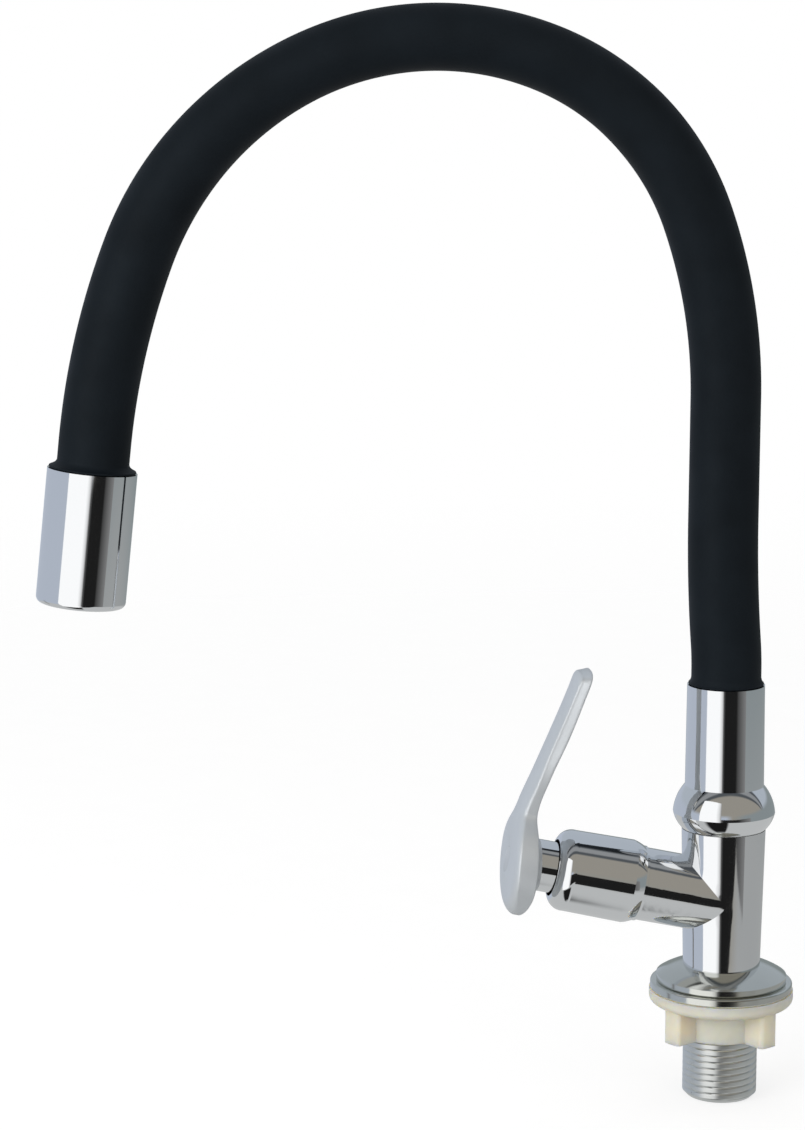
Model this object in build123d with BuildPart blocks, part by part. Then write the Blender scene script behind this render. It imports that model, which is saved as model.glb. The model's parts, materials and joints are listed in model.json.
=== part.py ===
from build123d import *
import math
import os

# Flexible spout tap: a single-lever cold tap for a sink or a worktop.
# The origin is the centre of the base plate's underside, which rests on the worktop.
# +Z is up, and the valve branch and the spout both reach towards -X. Sizes are in millimetres.

# Running and fitting clearances, measured on the radius
slip_fit = 0.10
running_fit = 0.06
press_slack = 0.04
skin_gap = 0.15

# Threaded shank, a half-inch parallel pipe thread
thread_radius = 10.4775
thread_pitch = 1.814
thread_depth = 1.162
thread_half_angle = 27.5
shank_drop = 33.3
shank_bore_radius = 6.0
inlet_bore_radius = 6.6
shank_chamfer = 1.2
spigot_radius = 8.2
spigot_length = 9.0
seal_thickness = 1.0

# Base plate, its gasket and the fixings below it
plate_radius = 18.3
plate_rim_height = 1.9
plate_height = 4.8
plate_edge_round = 0.45
plate_crown_share = 0.66
gasket_radius = 17.0
gasket_width = 4.2
gasket_thickness = 1.2
washer_radius = 20.0
washer_thickness = 2.4
washer_edge_round = 0.5
nut_flange_radius = 20.3
nut_flange_thickness = 3.8
nut_flange_round = 1.8
nut_hub_radius = 12.9
nut_height = 12.8
nut_lug_count = 4
nut_lug_reach = 19.5
nut_lug_width = 6.0
nut_lug_angle = 32.5
nut_lug_round = 1.2

# Tee body: an upright column with a tilted valve branch
column_foot_radius = 10.85
column_top_radius = 11.75
column_top = 44.2
column_neck_radius = 9.2
column_neck_top = 57.5
top_bore_radius = 7.0
top_bore_floor = 33.4
port_radius = 2.2
branch_height = 23.75
branch_tilt = 12.0
branch_half_width = 11.2
branch_half_height = 10.15
branch_end_radius = 10.25
branch_shoulder = 24.2
branch_neck_radius = 9.4
branch_neck_tail = 2.0
branch_mouth = 31.0
valve_bore_radius = 8.1
valve_bore_floor = 9.5
seat_port_radius = 3.5

# Ceramic valve in the branch, every place measured outwards from the column's axis
seat_washer_thickness = 2.0
disc_thickness = 3.0
disc_radius = 7.2
housing_wall = 0.5
spindle_radius = 4.0
spindle_foot_thickness = 1.8
thrust_washer_thickness = 0.7
housing_flange_radius = 9.2
housing_flange_thickness = 3.5
housing_neck_radius = 6.6
housing_end = 41.0
window_radius = 1.5
clip_thickness = 0.9
spindle_spline_radius = 3.4
spindle_spline_start = 44.0
spindle_end = 57.0
spindle_ring_section = 0.7
spindle_ring_pitch = 4.5
housing_ring_section = 0.65
housing_ring_setback = 4.5
clip_groove_depth = 0.8

# Bonnet over the branch
bonnet_start = 24.3
bonnet_rim_radius = 10.6
bonnet_root_radius = 11.72
bonnet_front_radius = 11.43
bonnet_swell_start = 25.0
bonnet_swell_end = 28.0
bonnet_swell_bow = 0.12
bonnet_shoulder = 44.9
bonnet_end = 49.5
bonnet_mouth_radius = 8.0
bonnet_wall = 1.9

# Lever handle: the hub turns on the branch's axis and the arm rises from it, leaning back
stem_radius = 7.2
stem_start = 43.0
hub_radius = 14.8
hub_back = 53.5
hub_front = 62.9
hub_lean = 1.4
hub_crown = 0.15
hub_top_inset = 1.0
hub_low_inset = 4.3
hub_rim_front_drop = 2.9
hub_rim_back_rise = 3.7
hub_chamfer = 2.0
lever_reach = 57.0
lever_lean = 8.0
lever_tip_thickness = 3.6
lever_root_thickness = 4.6
lever_root_offset = 18.0
lever_root_bow = 0.9
lever_tip_width = 14.0
lever_waist_width = 13.0
lever_waist_blend = 14.0
screw_radius = 1.5
screw_start = 50.0
screw_head_radius = 2.8
screw_head_height = 1.9
screw_web = 0.6
cap_radius = 3.6
cap_thickness = 1.5

# Swivel collar at the foot of the spout
collar_foot_gap = 0.15
collar_bulge_radius = 14.27
collar_bulge_height = 4.65
collar_foot_bow = 0.3
collar_shoulder_bow = (0.6, 0.28)
collar_step_gap = 1.2
collar_corner_height = 12.25
collar_corner_radius = 11.03
collar_rim_radius = 10.8
collar_rim = 85.2
glide_ring_thickness = 0.8
glide_ring_width = 1.7

# Spigot that turns in the tee and carries the neck
spigot_foot = 33.9
spigot_foot_radius = 6.9
swivel_bore_radius = 4.2
spigot_ring_section = 1.0
spigot_ring_heights = (45.5, 51.5)
snap_ring_height = 38.0
snap_ring_thickness = 1.2
snap_ring_overlap = 0.6
flange_thickness = 4.0
cup_radius = 9.6
cup_height = 75.0
cup_floor = 65.0
nipple_length = 7.0
spigot_web = 1.0

# Flexible neck: a rubber sleeve over a pinned metal arm with a water tube inside
sleeve_radius = 9.75
sleeve_wall = 2.4
sleeve_seat_gap = 0.7
arm_wall = 2.3
arm_joint_gap = 6.0
ear_radius = 2.6
ear_thickness = 0.85
ear_root = 2.4
pin_radius = 1.1
pin_head_radius = 1.9
pin_head_height = 0.6
tube_radius = 4.0
tube_wall = 0.8
nipple_wall = 0.8
collar_lip_radius = 10.5
outlet_lip_radius = 11.8
lip_thickness = 0.7
lip_height = 2.6
lip_flare_share = 0.3

# Centre line of the neck from the collar's rim, run by run: the radius of each arc and the angle
# it turns through in degrees. A run that doesn't turn is straight, and its size is its length.
neck_run_sizes = (4.0, 102.0, 420.0, 33.4, 143.8, 71.9, 81.8, 89.6, 205.0, 6.5)
neck_run_angles = (0.0, 4.5, -4.7, 0.0, 20.2, 48.2, 48.6, 42.3, 14.9, 0.0)

# Where the neck bends, as lengths along its centre line from the collar's rim
rise_bend_at = 65.0
crown_bend_at = 160.0
fall_bend_at = 245.0
side_bend_at = 325.0

# Outlet, every depth measured from its upper rim
outlet_radius = 12.15
outlet_length = 36.7
outlet_edge_round = 1.6
outlet_wall = 2.2
fitting_radius = 9.8
fitting_length = 5.0
mouth_recess = 1.4
aerator_wall = 1.4
aerator_seal_thickness = 1.6
straightener_radius = 8.4
straightener_thickness = 4.0
straightener_hole_radius = 0.9
straightener_hole_pitch = 2.88
straightener_lip = 0.6
straightener_lip_width = 0.8
screen_count = 2
screen_thickness = 0.5
screen_gap = 0.8

os.makedirs("parts", exist_ok=True)


def finish(part, name):
    """Label a piece and write it to its own file."""
    part.label = name
    export_step(part, "parts/" + name + ".step")


def ring(inner, outer, low, high, mode=Mode.ADD):
    """Section of a turned ring between two radii and two heights."""
    Polygon((inner, low), (outer, low), (outer, high), (inner, high), mode=mode)


# Planes and axes of the tilted branch: x is the offset above its axis, y runs outwards along it
tilt = math.radians(branch_tilt)
branch_origin = (0, 0, branch_height)
branch_direction = (-math.cos(tilt), 0, math.sin(tilt))
branch_side = (math.sin(tilt), 0, math.cos(tilt))
branch_section = Plane(origin=branch_origin, x_dir=branch_side, z_dir=(0, -1, 0))
branch_axis = Axis(branch_origin, branch_direction)
branch_face = Plane(origin=branch_origin, x_dir=(0, -1, 0), z_dir=branch_direction)


# Tee body

socket_top = plate_height + spigot_length + seal_thickness
inlet_bore_top = branch_height - seat_port_radius / 2
housing_radius = valve_bore_radius - slip_fit
snap_groove_radius = top_bore_radius + snap_ring_overlap + slip_fit

with BuildPart() as tee_body:
    with BuildSketch(Plane.XZ):
        Polygon(
            (0, plate_height),
            (column_foot_radius, plate_height),
            (column_top_radius, column_top),
            (column_neck_radius, column_top),
            (column_neck_radius, column_neck_top),
            (0, column_neck_top),
        )
    revolve(axis=Axis.Z)
    with BuildSketch(branch_face):
        Ellipse(branch_half_width, branch_half_height)
    with BuildSketch(branch_face.offset(branch_shoulder)):
        Circle(branch_end_radius)
    loft()
    with BuildSketch(branch_section):
        ring(0, branch_neck_radius, branch_shoulder - branch_neck_tail, branch_mouth)
    revolve(axis=branch_axis)
    with BuildSketch(Plane.XZ):
        ring(0, spigot_radius + press_slack, plate_height, socket_top)
        ring(0, inlet_bore_radius, socket_top, inlet_bore_top)
        ring(0, top_bore_radius, top_bore_floor, column_neck_top)
        ring(
            0,
            snap_groove_radius,
            snap_ring_height - slip_fit,
            snap_ring_height + snap_ring_thickness + slip_fit,
        )
    revolve(axis=Axis.Z, mode=Mode.SUBTRACT)
    with BuildSketch(branch_section):
        ring(0, seat_port_radius, 0, valve_bore_floor)
        ring(0, valve_bore_radius, valve_bore_floor, branch_mouth)
    revolve(axis=branch_axis, mode=Mode.SUBTRACT)
    with BuildSketch(Plane.XY.offset(branch_height + valve_bore_radius)):
        with Locations((-top_bore_radius - port_radius / 2, 0)):
            Circle(port_radius)
    extrude(amount=snap_ring_height - branch_height - valve_bore_radius, both=True, mode=Mode.SUBTRACT)
finish(tee_body.part, "tee_body")


# Threaded shank

thread_groove_half = thread_depth * math.tan(math.radians(thread_half_angle))
thread_root = thread_radius - thread_depth
groove_count = int((shank_drop - shank_chamfer) / thread_pitch)

with BuildPart() as threaded_shank:
    with BuildSketch(Plane.XZ):
        Polygon(
            (shank_bore_radius, -shank_drop),
            (thread_radius - shank_chamfer, -shank_drop),
            (thread_radius, -shank_drop + shank_chamfer),
            (thread_radius, plate_height),
            (spigot_radius, plate_height),
            (spigot_radius, plate_height + spigot_length),
            (shank_bore_radius, plate_height + spigot_length),
        )
        for index in range(groove_count):
            middle = -thread_pitch * (index + 0.5)
            Polygon(
                (thread_root, middle),
                (thread_radius + thread_depth, middle - 2 * thread_groove_half),
                (thread_radius + thread_depth, middle + 2 * thread_groove_half),
                mode=Mode.SUBTRACT,
            )
    revolve(axis=Axis.Z)
finish(threaded_shank.part, "threaded_shank")

with BuildPart() as shank_seal:
    with BuildSketch(Plane.XZ):
        ring(inlet_bore_radius, spigot_radius, plate_height + spigot_length, socket_top)
    revolve(axis=Axis.Z)
finish(shank_seal.part, "shank_seal")


# Base plate and gasket

plate_bore_radius = thread_radius + slip_fit
gasket_inner_radius = gasket_radius - gasket_width

with BuildPart() as base_plate:
    with BuildSketch(Plane.XZ) as plate_section:
        with BuildLine():
            rim_top = (plate_radius, plate_rim_height)
            crest = (column_foot_radius + slip_fit, plate_height)
            Polyline(crest, (plate_bore_radius, plate_height), (plate_bore_radius, 0), (plate_radius, 0), rim_top)
            middle_radius = (plate_radius + column_foot_radius) / 2
            middle_height = plate_rim_height + plate_crown_share * (plate_height - plate_rim_height)
            ThreePointArc(rim_top, (middle_radius, middle_height), crest)
        make_face()
        fillet(plate_section.vertices().sort_by(Axis.X)[-1:], plate_edge_round)
        ring(gasket_inner_radius - slip_fit, gasket_radius + slip_fit, 0, gasket_thickness, mode=Mode.SUBTRACT)
    revolve(axis=Axis.Z)
finish(base_plate.part, "base_plate")

with BuildPart() as base_gasket:
    with BuildSketch(Plane.XZ):
        ring(gasket_inner_radius, gasket_radius, 0, gasket_thickness)
    revolve(axis=Axis.Z)
finish(base_gasket.part, "base_gasket")


# Clamp washer and back nut, both run up against the base plate

with BuildPart() as clamp_washer:
    with BuildSketch(Plane.XZ) as washer_section:
        ring(plate_bore_radius, washer_radius, -washer_thickness, 0)
        fillet(washer_section.vertices().group_by(Axis.X)[-1], washer_edge_round)
    revolve(axis=Axis.Z)
finish(clamp_washer.part, "clamp_washer")

nut_top = -washer_thickness
nut_flange_low = nut_top - nut_flange_thickness
nut_low = nut_top - nut_height

with BuildPart() as back_nut:
    with BuildSketch(Plane.XZ) as nut_section:
        ring(plate_bore_radius, nut_flange_radius, nut_flange_low, nut_top)
        fillet(nut_section.vertices().group_by(Axis.X)[-1].sort_by(Axis.Y)[0], nut_flange_round)
        ring(plate_bore_radius, nut_hub_radius, nut_low, nut_flange_low)
    revolve(axis=Axis.Z)
    with BuildSketch(Plane.XY.offset(nut_low)) as lugs:
        with PolarLocations(0, nut_lug_count, start_angle=nut_lug_angle):
            with Locations((nut_lug_reach / 2, 0)):
                Rectangle(nut_lug_reach, nut_lug_width)
        Circle(nut_lug_reach, mode=Mode.INTERSECT)
        lug_corners = lugs.vertices().filter_by(lambda corner: Vector(corner.X, corner.Y).length > nut_hub_radius)
        fillet(lug_corners, nut_lug_round)
        Circle(nut_hub_radius - nut_lug_round, mode=Mode.SUBTRACT)
    extrude(amount=nut_flange_low + nut_flange_round - nut_low)
finish(back_nut.part, "back_nut")


# Ceramic valve

seat_washer_end = valve_bore_floor + seat_washer_thickness
fixed_disc_end = seat_washer_end + disc_thickness
turning_disc_end = fixed_disc_end + disc_thickness
foot_end = turning_disc_end + spindle_foot_thickness
thrust_end = foot_end + thrust_washer_thickness
cavity_end = thrust_end + slip_fit
cavity_radius = housing_radius - housing_wall
housing_bore_radius = spindle_radius + running_fit
foot_radius = cavity_radius - 2 * slip_fit
housing_flange_end = branch_mouth + housing_flange_thickness
spindle_ring_places = (cavity_end + spindle_ring_pitch, cavity_end + 2 * spindle_ring_pitch)
spindle_ring_middle = housing_bore_radius - running_fit / 2 - spindle_ring_section
spindle_groove_radius = spindle_ring_middle - spindle_ring_section - running_fit / 2
housing_ring_place = cavity_end + housing_ring_setback
housing_ring_middle = valve_bore_radius - running_fit / 2 - housing_ring_section
housing_groove_radius = housing_ring_middle - housing_ring_section - running_fit / 2
clip_start = housing_end + slip_fit
clip_end = clip_start + clip_thickness
clip_groove_radius = spindle_radius - clip_groove_depth

with BuildPart() as seat_washer:
    with BuildSketch(branch_section):
        ring(seat_port_radius + slip_fit, cavity_radius, valve_bore_floor, seat_washer_end)
    revolve(axis=branch_axis)
finish(seat_washer.part, "seat_washer")

with BuildPart() as ceramic_disc_fixed:
    with BuildSketch(branch_face.offset(seat_washer_end)):
        Circle(disc_radius)
        with Locations((disc_radius / 2, 0), (-disc_radius / 2, 0)):
            Circle(disc_radius / 3, mode=Mode.SUBTRACT)
    extrude(amount=disc_thickness)
finish(ceramic_disc_fixed.part, "ceramic_disc_fixed")

with BuildPart() as ceramic_disc_turning:
    with BuildSketch(branch_face.offset(fixed_disc_end)):
        Circle(disc_radius)
        with Locations((0, disc_radius / 2), (0, -disc_radius / 2)):
            Circle(disc_radius / 3, mode=Mode.SUBTRACT)
    extrude(amount=disc_thickness)
finish(ceramic_disc_turning.part, "ceramic_disc_turning")

with BuildPart() as headwork_body:
    with BuildSketch(branch_section):
        ring(0, housing_radius, seat_washer_end, branch_mouth)
        ring(0, housing_flange_radius, branch_mouth, housing_flange_end)
        ring(0, housing_neck_radius, housing_flange_end, housing_end)
        ring(0, cavity_radius, seat_washer_end, cavity_end, mode=Mode.SUBTRACT)
        ring(0, housing_bore_radius, cavity_end, housing_end, mode=Mode.SUBTRACT)
        ring(
            housing_groove_radius,
            valve_bore_radius,
            housing_ring_place - housing_ring_section - slip_fit,
            housing_ring_place + housing_ring_section + slip_fit,
            mode=Mode.SUBTRACT,
        )
    revolve(axis=branch_axis)
    with BuildSketch(branch_section):
        with Locations((0, turning_disc_end - disc_thickness / 2)):
            Circle(window_radius)
    extrude(amount=valve_bore_radius, both=True, mode=Mode.SUBTRACT)
finish(headwork_body.part, "headwork_body")

with BuildPart() as headwork_o_ring:
    with BuildSketch(branch_section):
        with Locations((housing_ring_middle, housing_ring_place)):
            Circle(housing_ring_section)
    revolve(axis=branch_axis)
finish(headwork_o_ring.part, "headwork_o_ring")

with BuildPart() as thrust_washer:
    with BuildSketch(branch_section):
        ring(spindle_radius + running_fit, foot_radius, foot_end, thrust_end)
    revolve(axis=branch_axis)
finish(thrust_washer.part, "thrust_washer")

with BuildPart() as spindle:
    with BuildSketch(branch_section):
        ring(0, foot_radius, turning_disc_end, foot_end)
        ring(0, spindle_radius, foot_end, spindle_spline_start)
        ring(0, spindle_spline_radius, spindle_spline_start, spindle_end)
        for place in spindle_ring_places:
            ring(
                spindle_groove_radius,
                spindle_radius,
                place - spindle_ring_section - slip_fit,
                place + spindle_ring_section + slip_fit,
                mode=Mode.SUBTRACT,
            )
        ring(clip_groove_radius, spindle_radius, clip_start, clip_end, mode=Mode.SUBTRACT)
        ring(0, screw_radius + press_slack, screw_start, spindle_end, mode=Mode.SUBTRACT)
    revolve(axis=branch_axis)
finish(spindle.part, "spindle")

with BuildPart() as spindle_o_rings:
    with BuildSketch(branch_section):
        for place in spindle_ring_places:
            with Locations((spindle_ring_middle, place)):
                Circle(spindle_ring_section)
    revolve(axis=branch_axis)
finish(spindle_o_rings.part, "spindle_o_rings")

with BuildPart() as spindle_clip:
    with BuildSketch(branch_face.offset(clip_start)):
        Circle(housing_neck_radius - 2 * slip_fit)
        Circle(clip_groove_radius + press_slack, mode=Mode.SUBTRACT)
        with Locations((0, -housing_neck_radius / 2)):
            Rectangle(clip_groove_radius, housing_neck_radius, mode=Mode.SUBTRACT)
    extrude(amount=clip_thickness)
finish(spindle_clip.part, "spindle_clip")


# Bonnet

bonnet_bore_radius = bonnet_front_radius - bonnet_wall

with BuildPart() as bonnet:
    with BuildSketch(branch_section):
        with BuildLine():
            shoulder = (bonnet_front_radius, bonnet_shoulder)
            lip = (bonnet_mouth_radius, bonnet_end)
            swell_middle = (
                (bonnet_rim_radius + bonnet_root_radius) / 2 + bonnet_swell_bow,
                (bonnet_swell_start + bonnet_swell_end) / 2,
            )
            Polyline(lip, (0, bonnet_end), (0, bonnet_start), (bonnet_rim_radius, bonnet_start))
            Line((bonnet_rim_radius, bonnet_start), (bonnet_rim_radius, bonnet_swell_start))
            ThreePointArc((bonnet_rim_radius, bonnet_swell_start), swell_middle, (bonnet_root_radius, bonnet_swell_end))
            Line((bonnet_root_radius, bonnet_swell_end), shoulder)
            diagonal = math.sqrt(0.5)
            dome_middle = (
                bonnet_mouth_radius + (bonnet_front_radius - bonnet_mouth_radius) * diagonal,
                bonnet_shoulder + (bonnet_end - bonnet_shoulder) * diagonal,
            )
            ThreePointArc(shoulder, dome_middle, lip)
        make_face()
        ring(0, branch_neck_radius + press_slack, bonnet_start, branch_mouth, mode=Mode.SUBTRACT)
        ring(0, bonnet_bore_radius, branch_mouth, bonnet_shoulder, mode=Mode.SUBTRACT)
        ring(0, bonnet_mouth_radius, bonnet_shoulder, bonnet_end, mode=Mode.SUBTRACT)
    revolve(axis=branch_axis)
finish(bonnet.part, "bonnet")


# Lever handle, its screw and its cap

screw_head_start = spindle_end + screw_web
screw_head_end = screw_head_start + screw_head_height
cap_start = hub_front - cap_thickness

with BuildPart() as lever_handle:
    with BuildSketch(branch_section):
        with BuildLine():
            tip_front = (lever_reach, hub_front - lever_lean)
            tip_back = (lever_reach, tip_front[1] - lever_tip_thickness)
            hub_top = (hub_radius - hub_top_inset, hub_front)
            hub_low = (hub_low_inset - hub_radius, hub_front - hub_lean)
            rim_front = (-hub_radius, hub_front - hub_rim_front_drop)
            rim_back = (-hub_radius, hub_back + hub_rim_back_rise)
            back_low = (rim_back[0] + hub_chamfer, rim_back[1] - hub_chamfer)
            root_back = (lever_root_offset, hub_front - lever_root_thickness)
            root_middle = (
                (stem_radius + lever_root_offset) / 2 - lever_root_bow,
                (hub_back + root_back[1]) / 2 + lever_root_bow,
            )
            Line(tip_front, hub_top)
            ThreePointArc(hub_top, (0, hub_front + hub_crown), hub_low)
            Polyline(hub_low, rim_front, rim_back, back_low, (-stem_radius, hub_back), (stem_radius, hub_back))
            ThreePointArc((stem_radius, hub_back), root_middle, root_back)
            Polyline(root_back, tip_back, tip_front)
        make_face()
    extrude(amount=hub_radius, both=True)
    with BuildSketch(branch_face.offset(stem_start)) as lever_outline:
        Circle(hub_radius)
        Polygon(
            (-lever_tip_width / 2, lever_reach),
            (-lever_waist_width / 2, 0),
            (lever_waist_width / 2, 0),
            (lever_tip_width / 2, lever_reach),
        )
        waist = lever_outline.vertices().group_by(Axis.Y)[-2]
        fillet(waist, lever_waist_blend)
    extrude(amount=hub_front, mode=Mode.INTERSECT)
    with BuildSketch(branch_section):
        ring(0, stem_radius, stem_start, spindle_end)
    revolve(axis=branch_axis)
    with BuildSketch(branch_section):
        ring(0, spindle_spline_radius + press_slack, stem_start, spindle_end)
        ring(0, spindle_radius + press_slack, stem_start, spindle_spline_start)
        ring(0, screw_radius + slip_fit, spindle_end, screw_head_start)
        ring(0, screw_head_radius + slip_fit, screw_head_start, cap_start)
        ring(0, cap_radius + press_slack, cap_start, hub_front + cap_thickness)
    revolve(axis=branch_axis, mode=Mode.SUBTRACT)
finish(lever_handle.part, "lever_handle")

with BuildPart() as handle_screw:
    with BuildSketch(branch_section):
        ring(0, screw_radius, screw_start, screw_head_start)
        ring(0, screw_head_radius, screw_head_start, screw_head_end)
    revolve(axis=branch_axis)
    with BuildSketch(branch_face.offset(screw_head_end)):
        Rectangle(2 * screw_head_radius, screw_head_radius / 3)
        Rectangle(screw_head_radius / 3, 2 * screw_head_radius)
        Circle(0.7 * screw_head_radius, mode=Mode.INTERSECT)
    extrude(amount=-screw_head_height / 2, mode=Mode.SUBTRACT)
finish(handle_screw.part, "handle_screw")

with BuildPart() as index_cap:
    with BuildSketch(branch_section):
        ring(0, cap_radius, cap_start, hub_front)
    revolve(axis=branch_axis)
finish(index_cap.part, "index_cap")


# Swivel spigot with its seals and snap ring

collar_foot = column_top + collar_foot_gap
collar_bore_radius = sleeve_radius + skin_gap
skirt_bore_radius = column_neck_radius + skin_gap
collar_step = column_neck_top + collar_step_gap
flange_radius = collar_bore_radius - press_slack
flange_end = collar_step + flange_thickness
arm_radius = sleeve_radius - sleeve_wall - skin_gap
arm_bore_radius = arm_radius - arm_wall
tube_bore_radius = tube_radius - tube_wall
nipple_radius = tube_bore_radius - press_slack
nipple_bore_radius = nipple_radius - nipple_wall
spigot_ring_middle = top_bore_radius - running_fit / 2 - spigot_ring_section
spigot_groove_radius = spigot_ring_middle - spigot_ring_section - running_fit / 2
snap_seat_radius = spigot_foot_radius - snap_ring_overlap

with BuildPart() as swivel_spigot:
    with BuildSketch(Plane.XZ):
        ring(0, spigot_foot_radius, spigot_foot, collar_step)
        ring(0, flange_radius, collar_step, flange_end)
        ring(0, cup_radius, flange_end, cup_height)
        ring(0, swivel_bore_radius, spigot_foot, flange_end - spigot_web, mode=Mode.SUBTRACT)
        ring(nipple_radius, arm_radius + press_slack, cup_floor, cup_height, mode=Mode.SUBTRACT)
        ring(0, nipple_radius, cup_floor + nipple_length, cup_height, mode=Mode.SUBTRACT)
        ring(0, nipple_bore_radius, flange_end - spigot_web, cup_floor + nipple_length, mode=Mode.SUBTRACT)
        for height in spigot_ring_heights:
            ring(
                spigot_groove_radius,
                spigot_foot_radius,
                height - spigot_ring_section - slip_fit,
                height + spigot_ring_section + slip_fit,
                mode=Mode.SUBTRACT,
            )
        ring(
            snap_seat_radius,
            spigot_foot_radius,
            snap_ring_height - slip_fit,
            snap_ring_height + snap_ring_thickness + slip_fit,
            mode=Mode.SUBTRACT,
        )
    revolve(axis=Axis.Z)
finish(swivel_spigot.part, "swivel_spigot")

with BuildPart() as spigot_o_rings:
    with BuildSketch(Plane.XZ):
        for height in spigot_ring_heights:
            with Locations((spigot_ring_middle, height)):
                Circle(spigot_ring_section)
    revolve(axis=Axis.Z)
finish(spigot_o_rings.part, "spigot_o_rings")

with BuildPart() as snap_ring:
    with BuildSketch(Plane.XY.offset(snap_ring_height)):
        Circle(snap_groove_radius - slip_fit)
        Circle(snap_seat_radius + slip_fit, mode=Mode.SUBTRACT)
        with Locations((snap_groove_radius, 0)):
            Rectangle(snap_groove_radius, snap_ring_thickness, mode=Mode.SUBTRACT)
    extrude(amount=snap_ring_thickness)
finish(snap_ring.part, "snap_ring")

glide_ring_inner = column_neck_radius + slip_fit
glide_ring_outer = glide_ring_inner + glide_ring_width
glide_ring_top = column_top + glide_ring_thickness

with BuildPart() as glide_ring:
    with BuildSketch(Plane.XZ):
        ring(glide_ring_inner, glide_ring_outer, column_top, glide_ring_top)
    revolve(axis=Axis.Z)
finish(glide_ring.part, "glide_ring")


# Swivel collar

with BuildPart() as swivel_collar:
    with BuildSketch(Plane.XZ):
        with BuildLine():
            foot = (column_top_radius, collar_foot)
            bulge = (collar_bulge_radius, collar_foot + collar_bulge_height)
            corner = (collar_corner_radius, collar_foot + collar_corner_height)
            rim = (collar_rim_radius, collar_rim)
            Polyline(rim, (0, collar_rim), (0, collar_foot), foot)
            foot_bow = (
                (foot[0] + bulge[0]) / 2 + collar_foot_bow,
                (foot[1] + bulge[1]) / 2 - collar_foot_bow,
            )
            ThreePointArc(foot, foot_bow, bulge)
            shoulder_bow = (
                (bulge[0] + corner[0]) / 2 + collar_shoulder_bow[0],
                (bulge[1] + corner[1]) / 2 + collar_shoulder_bow[1],
            )
            ThreePointArc(bulge, shoulder_bow, corner)
            Line(corner, rim)
        make_face()
        ring(0, glide_ring_outer + slip_fit, collar_foot, glide_ring_top + slip_fit, mode=Mode.SUBTRACT)
        ring(0, skirt_bore_radius, collar_foot, collar_step, mode=Mode.SUBTRACT)
        ring(0, collar_bore_radius, collar_step, collar_rim, mode=Mode.SUBTRACT)
    revolve(axis=Axis.Z)
finish(swivel_collar.part, "swivel_collar")


# The neck's centre line, as runs of (radius, turn)

neck_route = list(zip(neck_run_sizes, neck_run_angles))


def run_length(radius, turn):
    """Length of one run of the route: an arc, or a straight run if it doesn't turn."""
    return radius * math.radians(abs(turn)) if turn else radius


def advance(point, heading, radius, turn, share):
    """Point (x, z) and heading after a share of one run of the route."""
    if not turn:
        way = math.radians(heading)
        return (point[0] + radius * share * math.cos(way), point[1] + radius * share * math.sin(way)), heading
    side = math.copysign(radius, turn)
    ahead = heading + turn * share
    start_angle = math.radians(heading)
    end_angle = math.radians(ahead)
    across = side * (math.sin(end_angle) - math.sin(start_angle))
    up = side * (math.cos(start_angle) - math.cos(end_angle))
    return (point[0] + across, point[1] + up), ahead


def neck_runs(start, end):
    """Runs of the neck between two lengths along it: (point, heading, radius, turn, share)."""
    runs = []
    lead = 2 * collar_rim
    point = (0, collar_rim - lead)
    heading = 90.0
    reached = -lead
    for radius, turn in [(lead, 0.0)] + neck_route + [(lead, 0.0)]:
        length = run_length(radius, turn)
        low = max(start, reached)
        high = min(end, reached + length)
        if high > low:
            begin, facing = advance(point, heading, radius, turn, (low - reached) / length)
            runs.append((begin, facing, radius, turn, (high - low) / length))
        point, heading = advance(point, heading, radius, turn, 1)
        reached += length
    return runs


def neck_place(travel):
    """Point (x, z) and heading at a length along the neck."""
    first_run = neck_runs(travel, travel + lip_height)[0]
    return first_run[0], first_run[1]


def neck_plane(travel):
    """Plane square to the neck, at a length along it, facing along it."""
    point, heading = neck_place(travel)
    way = math.radians(heading)
    return Plane(origin=(point[0], 0, point[1]), x_dir=(0, 1, 0), z_dir=(math.cos(way), 0, math.sin(way)))


def neck_section(travel):
    """Plane in which a ring on the neck is drawn: x is the radius, y runs along the neck."""
    point, heading = neck_place(travel)
    way = math.radians(heading)
    return Plane(origin=(point[0], 0, point[1]), x_dir=(math.sin(way), 0, -math.cos(way)), z_dir=(0, -1, 0))


def neck_axis(travel):
    """Axis along the neck at a length along it."""
    square = neck_plane(travel)
    return Axis(square.origin, square.z_dir)


def sweep_neck(start, end, outer, inner):
    """Tube between two radii along a stretch of the neck."""
    with BuildLine(Plane.XZ) as route:
        for point, heading, radius, turn, share in neck_runs(start, end):
            way = math.radians(heading)
            if turn:
                JernArc(point, (math.cos(way), math.sin(way)), radius, turn * share)
            else:
                PolarLine(point, radius * share, heading)
    with BuildSketch(neck_plane(start)) as section:
        Circle(outer)
        Circle(inner, mode=Mode.SUBTRACT)
    sweep(section.sketch, path=route.line)


neck_length = sum(run_length(radius, turn) for radius, turn in neck_route)


# Depths in the outlet, counted back from its mouth to the fitting that holds the neck

cup_depth = cup_height - cup_floor
aerator_end = outlet_length - mouth_recess
straightener_start = aerator_end - straightener_lip - straightener_thickness
seal_end = straightener_start - (screen_count + 1) * (screen_thickness + screen_gap)
fitting_end = seal_end - aerator_seal_thickness
fitting_floor = fitting_end - fitting_length
fitting_start = fitting_floor - cup_depth


# Rubber sleeve: each end is tucked into a metal rim and has a small flared lip on it

sleeve_bore_radius = sleeve_radius - sleeve_wall
collar_tuck = collar_rim - cup_height - sleeve_seat_gap
outlet_tuck = fitting_start - sleeve_seat_gap


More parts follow.
